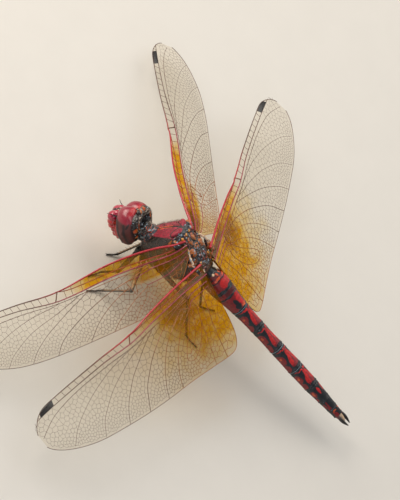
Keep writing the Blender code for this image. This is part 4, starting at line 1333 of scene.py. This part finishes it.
class Wing:
    """One wing's plan, and the bent and twisted blade that it is laid on."""

    spar_steps = 24

    def __init__(self, name):
        root, sweep, droop, pitch, self.lift, self.twist, self.corner = WING_POSES[name]
        self.name = name
        self.side = 1 if root.x > 0 else -1
        self.plan = FOREWING if "fore" in name else HINDWING
        self.length = self.plan["length"]
        self.root = self.plan["edges"][0][0]
        turn = rotation((-pitch, self.side * droop, -self.side * sweep))
        self.matrix = Matrix.Translation(root) @ turn.to_4x4()
        spar = Vector((-ROOT_REACH, 0, 0))
        reach = -ROOT_REACH
        self.stations = [(reach / self.length, spar.x, spar.z)]
        for i in range(self.spar_steps + 1):
            f = (1 - math.cos(math.pi * (i + 0.35) / (self.spar_steps + 0.7))) / 2
            distance = -ROOT_REACH + (self.length + ROOT_REACH) * f
            bend = self.bend(distance / self.length)
            spar = spar + (distance - reach) * Vector((math.cos(bend), 0, math.sin(bend)))
            reach = distance
            self.stations.append((distance / self.length, spar.x, spar.z))

    def bend(self, part):
        """How far the blade is bent up there."""
        return math.radians(self.lift) * smooth_step((part - 0.25) / 0.6)

    def row(self, s, f):
        """How far behind the front root a part of the unrounded chord lies."""
        front, rear = through(self.plan["edges"], s)
        return front + f * (rear - front)

    def edges(self, s):
        """The front and rear edge, a hair inside the plan so that the veins stay within it."""
        front, rear = wing_edges(self.plan["edges"], self.plan["ends"], s)
        return front + 0.03, rear

    def inward(self, s, y):
        """How far the wing's rear corner reaches in beside the abdomen."""
        reach = self.corner * (1 - 0.6 * smooth_step((y - 4.5) / 3.0)) * smooth_step((y + 0.2) / 1.4)
        return reach * (1 - smooth_step((s - self.root) / 0.15))

    def radius_row(self, s):
        """How far behind the front root the radius runs."""
        return self.row(s, through(self.plan["radius"], s)[0])

    def subcosta_row(self, s):
        """The same for the subcosta."""
        return self.row(s, through(self.plan["subcosta"], s)[0])

    def strips(self, s, y):
        """The radius's row, and how far a place lies in the strips before and behind the subcosta."""
        valley, radius = self.subcosta_row(s), self.radius_row(s)
        return radius, float(band(y, -9, valley, 0.15)), float(band(y, valley, radius, 0.15))

    def pleat(self, s, y):
        """Height of the folded blade: the front edge and radius are ridges, the subcosta a valley."""
        height = 0.28 * (1 - 0.8 * min(max(s, 0), 1))
        front, radius = self.edges(s)[0], self.radius_row(s)
        valley = self.subcosta_row(s)
        if s < self.plan["nodus"] and y < valley:
            return height * (0.6 - 1.4 * max(y - front, 0) / max(valley - front, 0.05))
        if y < radius:
            start = valley if s < self.plan["nodus"] else front
            return height * (-0.8 + 1.8 * max(y - start, 0) / max(radius - start, 0.05))
        beyond = y - radius
        wave = 0.45 * math.sin(2 * math.pi * beyond / 2.7) * math.exp(-beyond / 7)
        return height * (math.exp(-beyond / 0.8) + wave)

    def place(self, s, y, above=0.0):
        """A point of the blade in the body's millimetres."""
        reach = ROOT_REACH / self.length
        part = (s - self.root) / (1 - self.root) * (1 + reach) - reach
        x, z = through(self.stations, part)
        roll = math.radians(self.twist) * smooth_step(part)
        bend = self.bend(part)
        height = self.pleat(s, y) + above
        point = Vector((x - self.inward(s, y), 0, z)) + Vector((0, math.cos(roll), math.sin(roll))) * y
        point += Vector((-math.sin(bend), 0, math.cos(bend))) * height
        point.x *= self.side
        return self.matrix @ point


def vein_course(wing, rows, straight):
    """Places (part of the length, mm behind) along a vein, up to where it meets the wing's edge."""
    stations = [(float(k), *row) for k, row in enumerate(rows)]
    length = sum(
        math.hypot((b[0] - a[0]) * wing.length, (b[1] - a[1]) * 9) for a, b in zip(rows, rows[1:])
    )
    steps = max(int(length / 0.4), 4)
    course = []
    for i in range(steps + 1):
        t = (len(rows) - 1) * i / steps
        if straight:
            k = min(int(t), len(rows) - 2)
            s, f = (rows[k][n] + (rows[k + 1][n] - rows[k][n]) * (t - k) for n in (0, 1))
        else:
            s, f = through(stations, t)
        y = wing.row(s, f)
        front, rear = wing.edges(s)
        if s > 0.995 or y > rear or y < front:
            if course:
                course.append((min(s, 0.995), min(max(y, front), rear)))
            if len(course) > 2:
                break
            course = []
            continue
        course.append((s, y))
    return course


def main_veins(wing):
    """The wing's main veins, each a name, a course and its widths in mm. The widths, and those of
    the small veins, are drawn up to twice as coarse as the real ones, which are too fine to show."""
    plan = wing.plan
    costa = sizes().costa / MM
    front = [wing.root + (0.995 - wing.root) * i / 150 for i in range(151)]
    veins = [("costa", [(s, wing.edges(s)[0] + 0.07) for s in front], (costa, costa * 0.55, costa * 0.28))]
    rear = [0.995 - (0.995 - wing.root - 0.002) * i / 170 for i in range(171)]
    veins.append(("margin", [(s, wing.edges(s)[1]) for s in rear], (0.1, 0.09, 0.11)))
    for name, widths in (("subcosta", (0.2, 0.14, 0.1)), ("radius", (0.24, 0.18, 0.1))):
        veins.append((name, vein_course(wing, plan[name], False), widths))
    for name, (width, rows) in plan["veins"].items():
        course = vein_course(wing, rows, name in ("triangle", "arculus"))
        if len(course) > 1:
            veins.append((name, course, (width, width * 0.75, width * 0.6)))
    return veins


class Seeds:
    """The middles of a wing's cells: where, whether inside the net, and which vein they line."""

    def __init__(self):
        self.places = []
        self.inside = []
        self.lines = []
        self.bins = {}

    def is_free(self, x, y, distance):
        """Whether no seed lies within a distance."""
        column, line = int(x // 1.2), int(y // 1.2)
        for i in (column - 1, column, column + 1):
            for j in (line - 1, line, line + 1):
                for px, py in self.bins.get((i, j), ()):
                    if math.hypot(px - x, py - y) < distance:
                        return False
        return True

    def add(self, x, y, inside, line):
        """Adds a seed."""
        self.places.append(Vector((x, y)))
        self.inside.append(inside)
        self.lines.append(line)
        self.bins.setdefault((int(x // 1.2), int(y // 1.2)), []).append((x, y))


def cell_size(wing, s, f):
    """Size of a cell in mm: finer to the rear edge and to the tip."""
    finer = 0.43 * smooth_step((f - 0.35) / 0.55)
    if wing.plan is HINDWING:
        finer *= smooth_step((s - 0.04) / 0.3)
    finer += 0.12 * smooth_step((s - 0.45) / 0.4)
    return sizes().cell / MM * (1 - finer)


def cell_net(wing, veins, draws):
    """The small cross-veins: borders of the cells behind the radius, as pairs of places."""

    def holds(s, y):
        """Whether a place lies in the net."""
        return wing.root < s < 0.995 and wing.radius_row(s) < y < wing.edges(s)[1] - 0.02

    def size_at(s, y):
        """Size of a cell there."""
        front, rear = through(wing.plan["edges"], s)
        return cell_size(wing, s, (y - front) / (rear - front))

    seeds = Seeds()
    for name, course, _ in veins:
        if name in ("costa", "subcosta"):
            continue
        travelled = 0.0
        for (s, y), (next_s, next_y) in zip(course, course[1:]):
            dx, dy = (next_s - s) * wing.length, next_y - y
            step = math.hypot(dx, dy)
            size = size_at(s, y)
            travelled += step
            if travelled < size or step < 1e-6:
                continue
            travelled = 0.0
            for way in (1, -1):
                x = s * wing.length - way * dy / step * size * 0.45
                across = y + way * dx / step * size * 0.45
                inside = holds(x / wing.length, across)
                if seeds.is_free(x, across, 0.62 * size):
                    seeds.add(x, across, inside, (name, way))
    row = 0
    x = wing.root * wing.length
    while x < wing.length:
        s = x / wing.length
        front, rear = wing.edges(s)
        y = wing.radius_row(s) + (0.4 if row % 2 else 0.05)
        while y < rear:
            size = size_at(s, y)
            px, py = x + draws.gauss(0, 0.1) * size, y + draws.gauss(0, 0.1) * size
            if holds(px / wing.length, py) and seeds.is_free(px, py, 0.8 * size):
                seeds.add(px, py, True, None)
            y += size * 0.5
        x += 0.22
        row += 1
    points, _, triangles, sources, _, _ = delaunay_2d_cdt(seeds.places, [], [], 0, 1e-7)
    middles = []
    sharing = {}
    for number, triangle in enumerate(triangles):
        a, b, c = (points[k] for k in triangle)
        middles.append(circle_middle(a, b, c))
        for k in range(3):
            pair = tuple(sorted((triangle[k], triangle[(k + 1) % 3])))
            sharing.setdefault(pair, []).append(number)
    net = []
    for (a, b), around in sharing.items():
        if len(around) != 2 or not sources[a] or not sources[b]:
            continue
        a, b = sources[a][0], sources[b][0]
        same_vein = seeds.lines[a] and seeds.lines[b] and seeds.lines[a][0] == seeds.lines[b][0]
        if same_vein and seeds.lines[a][1] != seeds.lines[b][1]:
            continue
        if not (seeds.inside[a] and seeds.inside[b]):
            continue
        start, end = (middles[k] for k in around)
        if start is None or end is None or not 0.04 < (start - end).length < 3.0:
            continue
        places = [(point.x / wing.length, point.y) for point in (start, end)]
        if all(holds(*place) for place in places):
            net.append(places)
    return net


def circle_middle(a, b, c):
    """The middle of the circle through three points of the plane."""
    d = 2 * (a.x * (b.y - c.y) + b.x * (c.y - a.y) + c.x * (a.y - b.y))
    if abs(d) < 1e-9:
        return None
    aa, bb, cc = a.length_squared, b.length_squared, c.length_squared
    x = (aa * (b.y - c.y) + bb * (c.y - a.y) + cc * (a.y - b.y)) / d
    y = (aa * (c.x - b.x) + bb * (a.x - c.x) + cc * (b.x - a.x)) / d
    return Vector((x, y))


def ladder(wing, draws):
    """Cross-veins of the strips in front of the radius, as (start, end, width)."""
    rungs = []
    plan = wing.plan
    nodus = plan["nodus"]
    for i in range(plan["antenodals"]):
        s = 0.035 + (nodus - 0.05) * (i + 0.5 + 0.12 * draws.uniform(-1, 1)) / plan["antenodals"]
        slant = 0.006
        top, middle, bottom = wing.edges(s)[0], wing.subcosta_row(s), wing.radius_row(s + slant)
        width = 0.13 if i in (0, 4) else 0.085
        rungs.append(((s, top), (s + slant / 2, middle), width))
        rungs.append(((s + slant / 2, middle), (s + slant, bottom), width))
    rungs.append(((nodus - 0.004, wing.edges(nodus)[0]), (nodus + 0.018, wing.radius_row(nodus)), 0.2))
    start, end = plan["stigma"]
    count = plan["postnodals"]
    step = (start - nodus - 0.035) / count
    outer = [(nodus + 0.03 + step * (i + 0.6), 0.004, 0.075) for i in range(count)]
    outer += [(end + 0.014 * i, 0.003, 0.06) for i in (1, 2, 3)]
    for s, slant, width in outer:
        rungs.append(((s, wing.edges(s)[0]), (s - slant, wing.radius_row(s - slant)), width))
    return rungs


def stigma(wing):
    """The thick dark cell near the tip, crowned above and below."""
    start, end = wing.plan["stigma"]
    rows, columns = 14, 6
    top, bottom = [], []
    for i in range(rows + 1):
        for j in range(columns + 1):
            u, v = i / rows, j / columns
            s = start + (end - start) * u + 0.01 * (v - 0.5)
            front, radius = wing.edges(s)[0], wing.radius_row(s)
            crown = 0.05 + 0.06 * (math.sin(math.pi * u) * math.sin(math.pi * v)) ** 0.5
            y = front + (radius - front) * v
            top.append(wing.place(s, y, crown))
            bottom.append(wing.place(s, y, -crown))
    return sheet_between(top, bottom, rows, columns)


def sheet_between(top, bottom, rows, columns):
    """A closed sheet from its upper and lower grids of points."""
    width = columns + 1
    below = len(top)
    faces = []
    for i in range(rows):
        for j in range(columns):
            a = i * width + j
            quad = (a, a + 1, a + 1 + width, a + width)
            faces.append(quad)
            faces.append(tuple(below + k for k in reversed(quad)))
    rim = list(range(columns + 1)) + [i * width + columns for i in range(1, rows + 1)]
    rim += [rows * width + j for j in range(columns - 1, -1, -1)]
    rim += [i * width for i in range(rows - 1, 0, -1)]
    for k, a in enumerate(rim):
        b = rim[(k + 1) % len(rim)]
        faces.append((b, a, below + a, below + b))
    return top + bottom, faces


def vein_form(wing, draws):
    """All the veins of a wing as joined tubes, with masks for their colours."""
    form = Form()
    veins = main_veins(wing)
    tones = {"costa": "coral", "subcosta": "coral", "radius": "rose", "stem": "rose", "anal": "rose"}
    for name, course, widths in veins:
        points, radii, far, tinted = [], [], [], []
        for s, y in course:
            points.append(wing.place(s, y))
            outward = min(max(s, 0.0), 1.0)
            inner, outer = (widths[0], widths[1]) if outward < 0.5 else (widths[1], widths[2])
            share = (outward % 0.5) / 0.5 if outward < 1 else 1
            radii.append((inner + (outer - inner) * share) / 2)
            far += [smooth_step((s - 0.4) / 0.3 if name in tones else (s - 0.2) / 0.3)] * 6
            tinted += [0.62 - 0.3 * smooth_step((s - 0.1) / 0.4) if name == "subcosta" else 1.0] * 6
        tone = tones.get(name)
        masks = {"far": far}
        if tone:
            masks[tone] = tinted
        form.add(tube(points, radii, 6), **masks)
    for start, end, width in ladder(wing, draws):
        points = [wing.place(*start), wing.place(*end)]
        form.add(tube(points, [width / 2] * 2, 5), far=0.35 + 0.65 * smooth_step((start[0] - 0.3) / 0.35))
    for start, end in cell_net(wing, veins, draws):
        points = [wing.place(*start), wing.place(*end)]
        width = 0.085 - 0.045 * smooth_step((start[0] - 0.12) / 0.45)
        form.add(tube(points, [width / 2] * 2, 4), far=smooth_step((start[0] - 0.12) / 0.3))
    form.add(stigma(wing), ink=1.0)
    return form


def fore_stain(wing, s, y, wander):
    """How amber and how brown the forewing's film is at a place: amber in the strips behind the front edge
    as far as the nodus, and brown nearest the root, partly a brown stain and partly painted shade, the
    dark shade behind the root seen through the film."""
    nodus = wing.plan["nodus"]
    radius, costal, strip = wing.strips(s, y)
    field = float(band(y, radius, wing.row(s, 0.47), 0.6))
    fade = smooth_step((nodus - 0.02 - s + 0.03 * wander) / 0.14)
    amber = costal * fade * (0.4 + 0.5 * smooth_step((s - 0.08) / 0.1))
    amber += strip * fade
    amber += field * smooth_step((0.27 - s + 0.02 * wander) / 0.13)
    amber += 0.4 * (1 - costal) * (1 - field) * (1 - strip) * smooth_step((0.2 - s) / 0.18)
    brown = strip * smooth_step((0.14 - s + 0.03 * wander) / 0.07) * 0.7
    brown += field * smooth_step((0.1 - s + 0.03 * wander) / 0.07) * 0.4
    return amber, brown


def hind_stain(wing, s, y, wander):
    """The same for the hindwing, where the amber fills the broad base and fades outward."""
    nodus = wing.plan["nodus"]
    radius, costal, strip = wing.strips(s, y)
    fade = smooth_step((nodus - s + 0.03 * wander) / 0.16)
    reach = math.hypot(s * wing.length, 0.95 * max(y - radius, 0.0)) + 2.2 * wander
    broad = 0.7 * smooth_step((13.5 - reach) / 5.5) + 0.3 * smooth_step((20.0 - reach) / 8)
    amber = costal * 0.7 * fade + strip * fade + (1 - costal) * (1 - strip) * broad
    brown = strip * smooth_step((0.15 - s + 0.03 * wander) / 0.07) * 0.75
    front, rear = through(wing.plan["edges"], s)
    chord = (y - front) / (rear - front)
    brown += float(spot(s, chord, (0.16, 0.22), (0.07, 0.16), 0.9)) * 0.35 * (1 - costal)
    return amber, brown


def membrane_form(wing):
    """The thin blade, with masks for its amber and brown stain."""
    rows, columns = 210, 46
    half = sizes().film / MM / 2
    stain = fore_stain if wing.plan is FOREWING else hind_stain
    top, bottom, amber, brown = [], [], [], []
    for i in range(rows + 1):
        s = wing.root + (0.994 - wing.root) * i / rows
        front, rear = wing.edges(s)
        for j in range(columns + 1):
            y = front + (rear - front) * (j / columns) ** 1.25
            top.append(wing.place(s, y, half))
            bottom.append(wing.place(s, y, -half))
            wander = noise.noise(Vector((s * 14, y * 0.5, 2.0 + wing.side)))
            for mask, value in zip((amber, brown), stain(wing, s, y, wander)):
                mask.append(min(value, 1.0))
    form = Form()
    form.add(sheet_between(top, bottom, rows, columns), amber=amber * 2, brown=brown * 2)
    return form


def membrane_material():
    """Wing film: dry clear chitin a few microns thick, with a crinkled gleam, stained amber and brown by
    pigment near the root; on the forewings part of the brown is painted shade, the dark shade behind the
    root seen through the film. Its stain is a filter that light crosses at both faces."""
    material, tree, shader = new_material("clear and amber-stained film of the wings")
    amber, brown = mesh_mask(tree, "amber"), mesh_mask(tree, "brown")
    uneven = mapped(tree, grain(tree, 1.3), 0.32, 0.68, 0.6, 1.25)
    depth = worked(tree, "MULTIPLY", amber, uneven, clamped=True)
    film = mixed(tree, depth, paint("film"), paint("film_amber"))
    film = mixed(tree, brown, film, paint("film_brown"))
    tint = mixed(tree, depth, paint("clear"), paint("stain"))
    tint = mixed(tree, brown, tint, paint("stain_deep"))
    height = grain(tree, 0.7, 1.0)
    bump = add_node(tree, "ShaderNodeBump", {"Strength": 0.5, "Distance": 0.02 * MM, "Height": height})
    feed(tree, shader, {"Base Color": film, "Roughness": 0.16, "IOR": 1.56, "Normal": bump.outputs[0]})
    clear = add_node(tree, "ShaderNodeBsdfTransparent", {"Color": tint}).outputs[0]
    cover = worked(tree, "MULTIPLY_ADD", depth, 0.09, 0.03)
    cover = worked(tree, "MULTIPLY_ADD", brown, 0.4, cover, clamped=True)
    blend = add_node(tree, "ShaderNodeMixShader", {0: cover, 1: clear, 2: shader.outputs[0]})
    tree.links.new(blend.outputs[0], tree.nodes["Material Output"].inputs["Surface"])
    return material


def add_wings():
    """Four wings, each a clear film with its net of veins and its dark spot."""
    film = membrane_material()
    # hollow tubes of chitin, filled with blood: red by the root, brown and dry further out
    wire = cuticle(
        "tubular chitin of the wing veins",
        "vein",
        ("rose", ("coral", "costa"), ("far", "vein_far"), ("ink", "jet")),
        roughness=0.3, coat=0.3, mottle=0.25, mottle_size=0.8, raggedness=0.2, edge=0.5,
        relief=0.005,
    )
    for number, name in enumerate(WING_POSES):
        wing = Wing(name)
        draws = random.Random(WING_SEED + number)
        make_piece(name + "_membrane", membrane_form(wing), film, (), 180)
        make_piece(name + "_veins", vein_form(wing, draws), wire, (name,), 60)


# Hair, with the tufts of the first ring, of the thorax's underside and of the head

MANE_TUFTS = 260
BELLY_TUFTS = 520
HEAD_TUFTS = 460


def hair_roots(draws):
    """Foot, outward way, lie, length and paleness of each tuft, by region of the body."""
    roots = []
    longest = sizes().hair / MM
    for _ in range(sizes().tufts):
        # front slopes and shoulders of the thorax
        y = draws.uniform(-11.2, -1.0)
        angle = draws.uniform(-0.25 * math.pi, 1.25 * math.pi)
        waist, half_width, above, below, squareness = trunk_at(y)
        x = half_width * power_of(math.cos(angle), 2 / squareness)
        z = waist + (above if math.sin(angle) > 0 else below) * power_of(math.sin(angle), 2 / squareness)
        on_back = math.sin(angle) > 0.55 and y > -8.9
        if on_back and draws.random() < 0.9:
            continue
        out = Vector((math.cos(angle) / half_width, -0.05 * (y < -8.8), math.sin(angle) / above))
        out.normalize()
        if y < -8.8:
            out = (out + AHEAD * 0.8).normalized()
        roots.append((Vector((x, y, z)), out, BACKWARD * 0.6 + UP * 0.2, longest, 0.3))
    for _ in range(MANE_TUFTS):
        # mane of the first ring
        angle = draws.uniform(-0.15 * math.pi, 1.15 * math.pi)
        y = draws.uniform(-12.4, -10.9)
        reach = 1.25 + 0.3 * (y + 12.4) / 1.5
        foot = Vector((reach * math.cos(angle), y, -2.4 + (reach + 0.25) * math.sin(angle)))
        out = Vector((math.cos(angle), -0.3, math.sin(angle)))
        roots.append((foot, out, AHEAD * 0.3 + UP * 0.3, longest * 1.4, 0.7))
    for _ in range(BELLY_TUFTS):
        # under the thorax and round the hips
        y = draws.uniform(-10.8, -3.0)
        x = draws.uniform(-2.4, 2.4)
        waist, half_width, _, below, squareness = trunk_at(y)
        share = max(1 - (abs(x) / half_width) ** squareness, 0.0) ** (1 / squareness)
        foot = Vector((x, y, waist - below * share))
        roots.append((foot, Vector((x * 0.2, 0, -1)), BACKWARD * 0.5, longest * 1.3, 0.6))
    matrix = head_matrix()
    turn = matrix.to_3x3()
    for _ in range(HEAD_TUFTS):
        # pale bristles round the hollow back of the head
        angle = draws.uniform(0, 2 * math.pi)
        share = draws.uniform(0.78, 1.0)
        x, z = share * math.cos(angle), share * math.sin(angle)
        foot = Vector((2.55 * x, 1.9 - 0.3 * share, 0.4 + 1.6 * z))
        out = Vector((math.cos(angle) * 0.5, 0.7, math.sin(angle) * 0.5))
        roots.append((matrix @ foot, turn @ out, turn @ Vector((0, 0.2, 0.2)), longest * 1.2, 1.0))
    return roots


# How far the corners of a hair's patch on the unwrapped skin lie from its root's place
PATCH = (-0.0015, 0.0015)


def add_hair():
    """Short soft tufts, each of three fine hairs from one root."""
    draws = random.Random(HAIR_SEED)
    form = Form()
    patches = []
    for foot, out, lie, reach, pale in hair_roots(draws):
        out = Vector(out).normalized()
        u = 0.5 + 0.46 * math.atan2(foot.x, foot.z + 1.0) / math.pi
        v = 0.04 + 0.92 * (foot.y + 17.5) / 17.5
        for _ in range(3):
            sway = Vector([draws.gauss(0, 0.3) for _ in range(3)])
            start = foot + Vector([draws.gauss(0, 0.06) for _ in range(3)])
            start.z = min(start.z, CREST - 0.1)
            way = (out + lie + sway).normalized()
            tip = start + way * reach * draws.uniform(0.6, 1.25)
            tip.z = min(tip.z, CREST)
            form.add(spine(start - way * 0.12, tip, 0.017, 3), pale=pale)
            for _ in range(4):
                patches.append((u + draws.uniform(*PATCH), v + draws.uniform(*PATCH)))
    # fine chitin bristles, soft and dull in the mass, paler at the head; each is drawn two or three
    # times as thick as a real one, which is too fine to show
    hair = cuticle(
        "soft hair of the thorax and head",
        "hair",
        (("pale", "hair_pale"),),
        roughness=0.6, coat=0.0, mottle=0.4, mottle_size=0.6, raggedness=0.6, edge=0.5, sheen=0.2,
    )
    piece = make_piece("hair_coat", form, hair, (), 180)
    layer = piece.data.uv_layers.new(name="OFBake")
    for loop in piece.data.loops:
        layer.data[loop.index].uv = patches[loop.vertex_index]


# Stage


# The camera's way back from the animal and its right, the height of the view and its shift across
# and up in mm, and its distance in metres
VIEW_BACK = Vector((0.640, -0.208, 0.740))
VIEW_RIGHT = Vector((-0.399, 0.733, 0.551))
VIEW_HEIGHT = 80.78
VIEW_SHIFT = (-1.22, 3.79)
VIEW_DISTANCE = 0.6


def area_light(name, way, distance, size, power, colour):
    """A soft square light that looks at the animal, its sizes in metres and its power in watts."""
    aim = ROOT + Vector((0, -4, -4)) * MM
    light = bpy.data.lights.new(name, "AREA")
    light.size = size
    light.energy = power
    light.color = linear(colour)[:3]
    lamp = new_object(name, light)
    lamp.location = aim + Vector(way).normalized() * distance
    lamp.rotation_euler = (aim - lamp.location).to_track_quat("-Z", "Y").to_euler()


def add_floor():
    """A plain pale board."""
    mesh = bpy.data.meshes.new("floor")
    form = bmesh.new()
    bmesh.ops.create_grid(form, x_segments=1, y_segments=1, size=1.5)
    form.to_mesh(mesh)
    form.free()
    floor = new_object("floor", mesh)
    # matt emulsion on board: even, with the faintest cloudiness
    finish, tree, shader = new_material("matt emulsion of the board")
    board = paint("board")
    duller = [channel * 0.95 for channel in board[:3]] + [1.0]
    feed(tree, shader, {"Base Color": mixed(tree, grain(tree, 6.0), duller, board), "Roughness": 0.8})
    mesh.materials.append(finish)


def add_camera():
    """A long lens above the animal's left front, turned so that its body lies along the frame."""
    away = VIEW_BACK.normalized()
    right = (VIEW_RIGHT - away * VIEW_RIGHT.dot(away)).normalized()
    upward = away.cross(right)
    look = ROOT + (right * VIEW_SHIFT[0] + upward * VIEW_SHIFT[1]) * MM
    lens = bpy.data.cameras.new("camera")
    lens.sensor_fit = "VERTICAL"
    lens.sensor_height = 36.0
    lens.lens = lens.sensor_height * VIEW_DISTANCE / (VIEW_HEIGHT * MM)
    camera = new_object("camera", lens)
    turn = Matrix((right, upward, away)).transposed().to_4x4()
    camera.matrix_world = Matrix.Translation(look + away * VIEW_DISTANCE) @ turn
    bpy.context.scene.camera = camera


def add_stage():
    """The floor, three soft lights, a pale room and the camera."""
    for old in [thing for thing in bpy.data.objects if thing.type in ("LIGHT", "CAMERA")]:
        bpy.data.objects.remove(old)
    add_floor()
    area_light("key", (-0.15, -0.85, 0.55), 0.4, 0.3, 1.7, "#fff4e6")
    area_light("overhead", (-0.6, 0.1, 0.8), 0.4, 0.4, 0.8, "#fffaf2")
    area_light("fill", (0.8, 0.1, 0.6), 0.4, 0.3, 0.25, "#eaf2ff")
    world = bpy.data.worlds.new("pale room")
    world.use_nodes = True
    background = world.node_tree.nodes["Background"]
    background.inputs["Color"].default_value = linear("#e6e8ea")
    background.inputs["Strength"].default_value = 0.3
    bpy.context.scene.world = world
    bpy.context.scene.view_settings.view_transform = "Standard"
    add_camera()


# Operators and panel


class SKIMMER_OT_trunk(bpy.types.Operator):
    """Makes the thorax, its first ring and the neck in one skin"""

    bl_idname = "skimmer.trunk"
    bl_label = "Trunk"

    def execute(self, context):
        add_trunk()
        return {"FINISHED"}


class SKIMMER_OT_skull(bpy.types.Operator):
    """Makes the back of the head and the crown"""

    bl_idname = "skimmer.skull"
    bl_label = "Back of the head"

    def execute(self, context):
        add_skull()
        return {"FINISHED"}


class SKIMMER_OT_face(bpy.types.Operator):
    """Makes the brow, the face plates and the upper lip"""

    bl_idname = "skimmer.face"
    bl_label = "Face"

    def execute(self, context):
        add_face()
        return {"FINISHED"}


class SKIMMER_OT_mouth(bpy.types.Operator):
    """Makes the lower lip and the two feelers"""

    bl_idname = "skimmer.mouth"
    bl_label = "Lower lip and feelers"

    def execute(self, context):
        add_mouth_and_feelers()
        return {"FINISHED"}


class SKIMMER_OT_eyes(bpy.types.Operator):
    """Makes the two eyes"""

    bl_idname = "skimmer.eyes"
    bl_label = "Eyes"

    def execute(self, context):
        add_eyes()
        return {"FINISHED"}


class SKIMMER_OT_abdomen(bpy.types.Operator):
    """Makes the ten segments of the abdomen in one skin"""

    bl_idname = "skimmer.abdomen"
    bl_label = "Abdomen"

    def execute(self, context):
        add_abdomen()
        return {"FINISHED"}


class SKIMMER_OT_claspers(bpy.types.Operator):
    """Makes the claspers, the plate under them and the skin between them"""

    bl_idname = "skimmer.claspers"
    bl_label = "Claspers"

    def execute(self, context):
        add_claspers()
        return {"FINISHED"}


class SKIMMER_OT_legs(bpy.types.Operator):
    """Makes the six legs with their spines and claws"""

    bl_idname = "skimmer.legs"
    bl_label = "Legs"

    def execute(self, context):
        add_legs()
        return {"FINISHED"}


class SKIMMER_OT_wings(bpy.types.Operator):
    """Makes the film and the veins of the four wings"""

    bl_idname = "skimmer.wings"
    bl_label = "Wings"

    def execute(self, context):
        add_wings()
        return {"FINISHED"}


class SKIMMER_OT_hair(bpy.types.Operator):
    """Makes the hair of the thorax and head"""

    bl_idname = "skimmer.hair"
    bl_label = "Hair"

    def execute(self, context):
        add_hair()
        return {"FINISHED"}


class SKIMMER_OT_stage(bpy.types.Operator):
    """Sets the floor, the lights and the camera"""

    bl_idname = "skimmer.stage"
    bl_label = "Stage"

    def execute(self, context):
        add_stage()
        return {"FINISHED"}


OPERATORS = (
    SKIMMER_OT_trunk, SKIMMER_OT_skull, SKIMMER_OT_face, SKIMMER_OT_mouth,
    SKIMMER_OT_eyes, SKIMMER_OT_abdomen, SKIMMER_OT_claspers, SKIMMER_OT_legs,
    SKIMMER_OT_wings, SKIMMER_OT_hair, SKIMMER_OT_stage,
)


class SKIMMER_PT_panel(bpy.types.Panel):
    """Sizes, colours and one button for each piece"""

    bl_label = "Red Rock Skimmer"
    bl_space_type = "VIEW_3D"
    bl_region_type = "UI"
    bl_category = "Skimmer"

    def draw(self, context):
        for group in (context.scene.skimmer_sizes, context.scene.skimmer_colours):
            box = self.layout.box()
            for name in group.bl_rna.properties.keys():
                if name not in ("rna_type", "name"):
                    box.prop(group, name)
        for operator in OPERATORS:
            self.layout.operator(operator.bl_idname)


CLASSES = (SkimmerColours, SkimmerSizes, *OPERATORS, SKIMMER_PT_panel)


def register():
    """Hands the classes to Blender and gives each scene its colours and sizes."""
    for kind in CLASSES:
        bpy.utils.register_class(kind)
    bpy.types.Scene.skimmer_colours = bpy.props.PointerProperty(type=SkimmerColours)
    bpy.types.Scene.skimmer_sizes = bpy.props.PointerProperty(type=SkimmerSizes)


def unregister():
    """Takes all of that back."""
    del bpy.types.Scene.skimmer_sizes
    del bpy.types.Scene.skimmer_colours
    for kind in reversed(CLASSES):
        bpy.utils.unregister_class(kind)


def main():
    register()
    bpy.ops.skimmer.trunk()
    bpy.ops.skimmer.skull()
    bpy.ops.skimmer.face()
    bpy.ops.skimmer.mouth()
    bpy.ops.skimmer.eyes()
    bpy.ops.skimmer.abdomen()
    bpy.ops.skimmer.claspers()
    bpy.ops.skimmer.legs()
    bpy.ops.skimmer.wings()
    bpy.ops.skimmer.hair()
    bpy.ops.skimmer.stage()


if __name__ == "__main__":
    main()
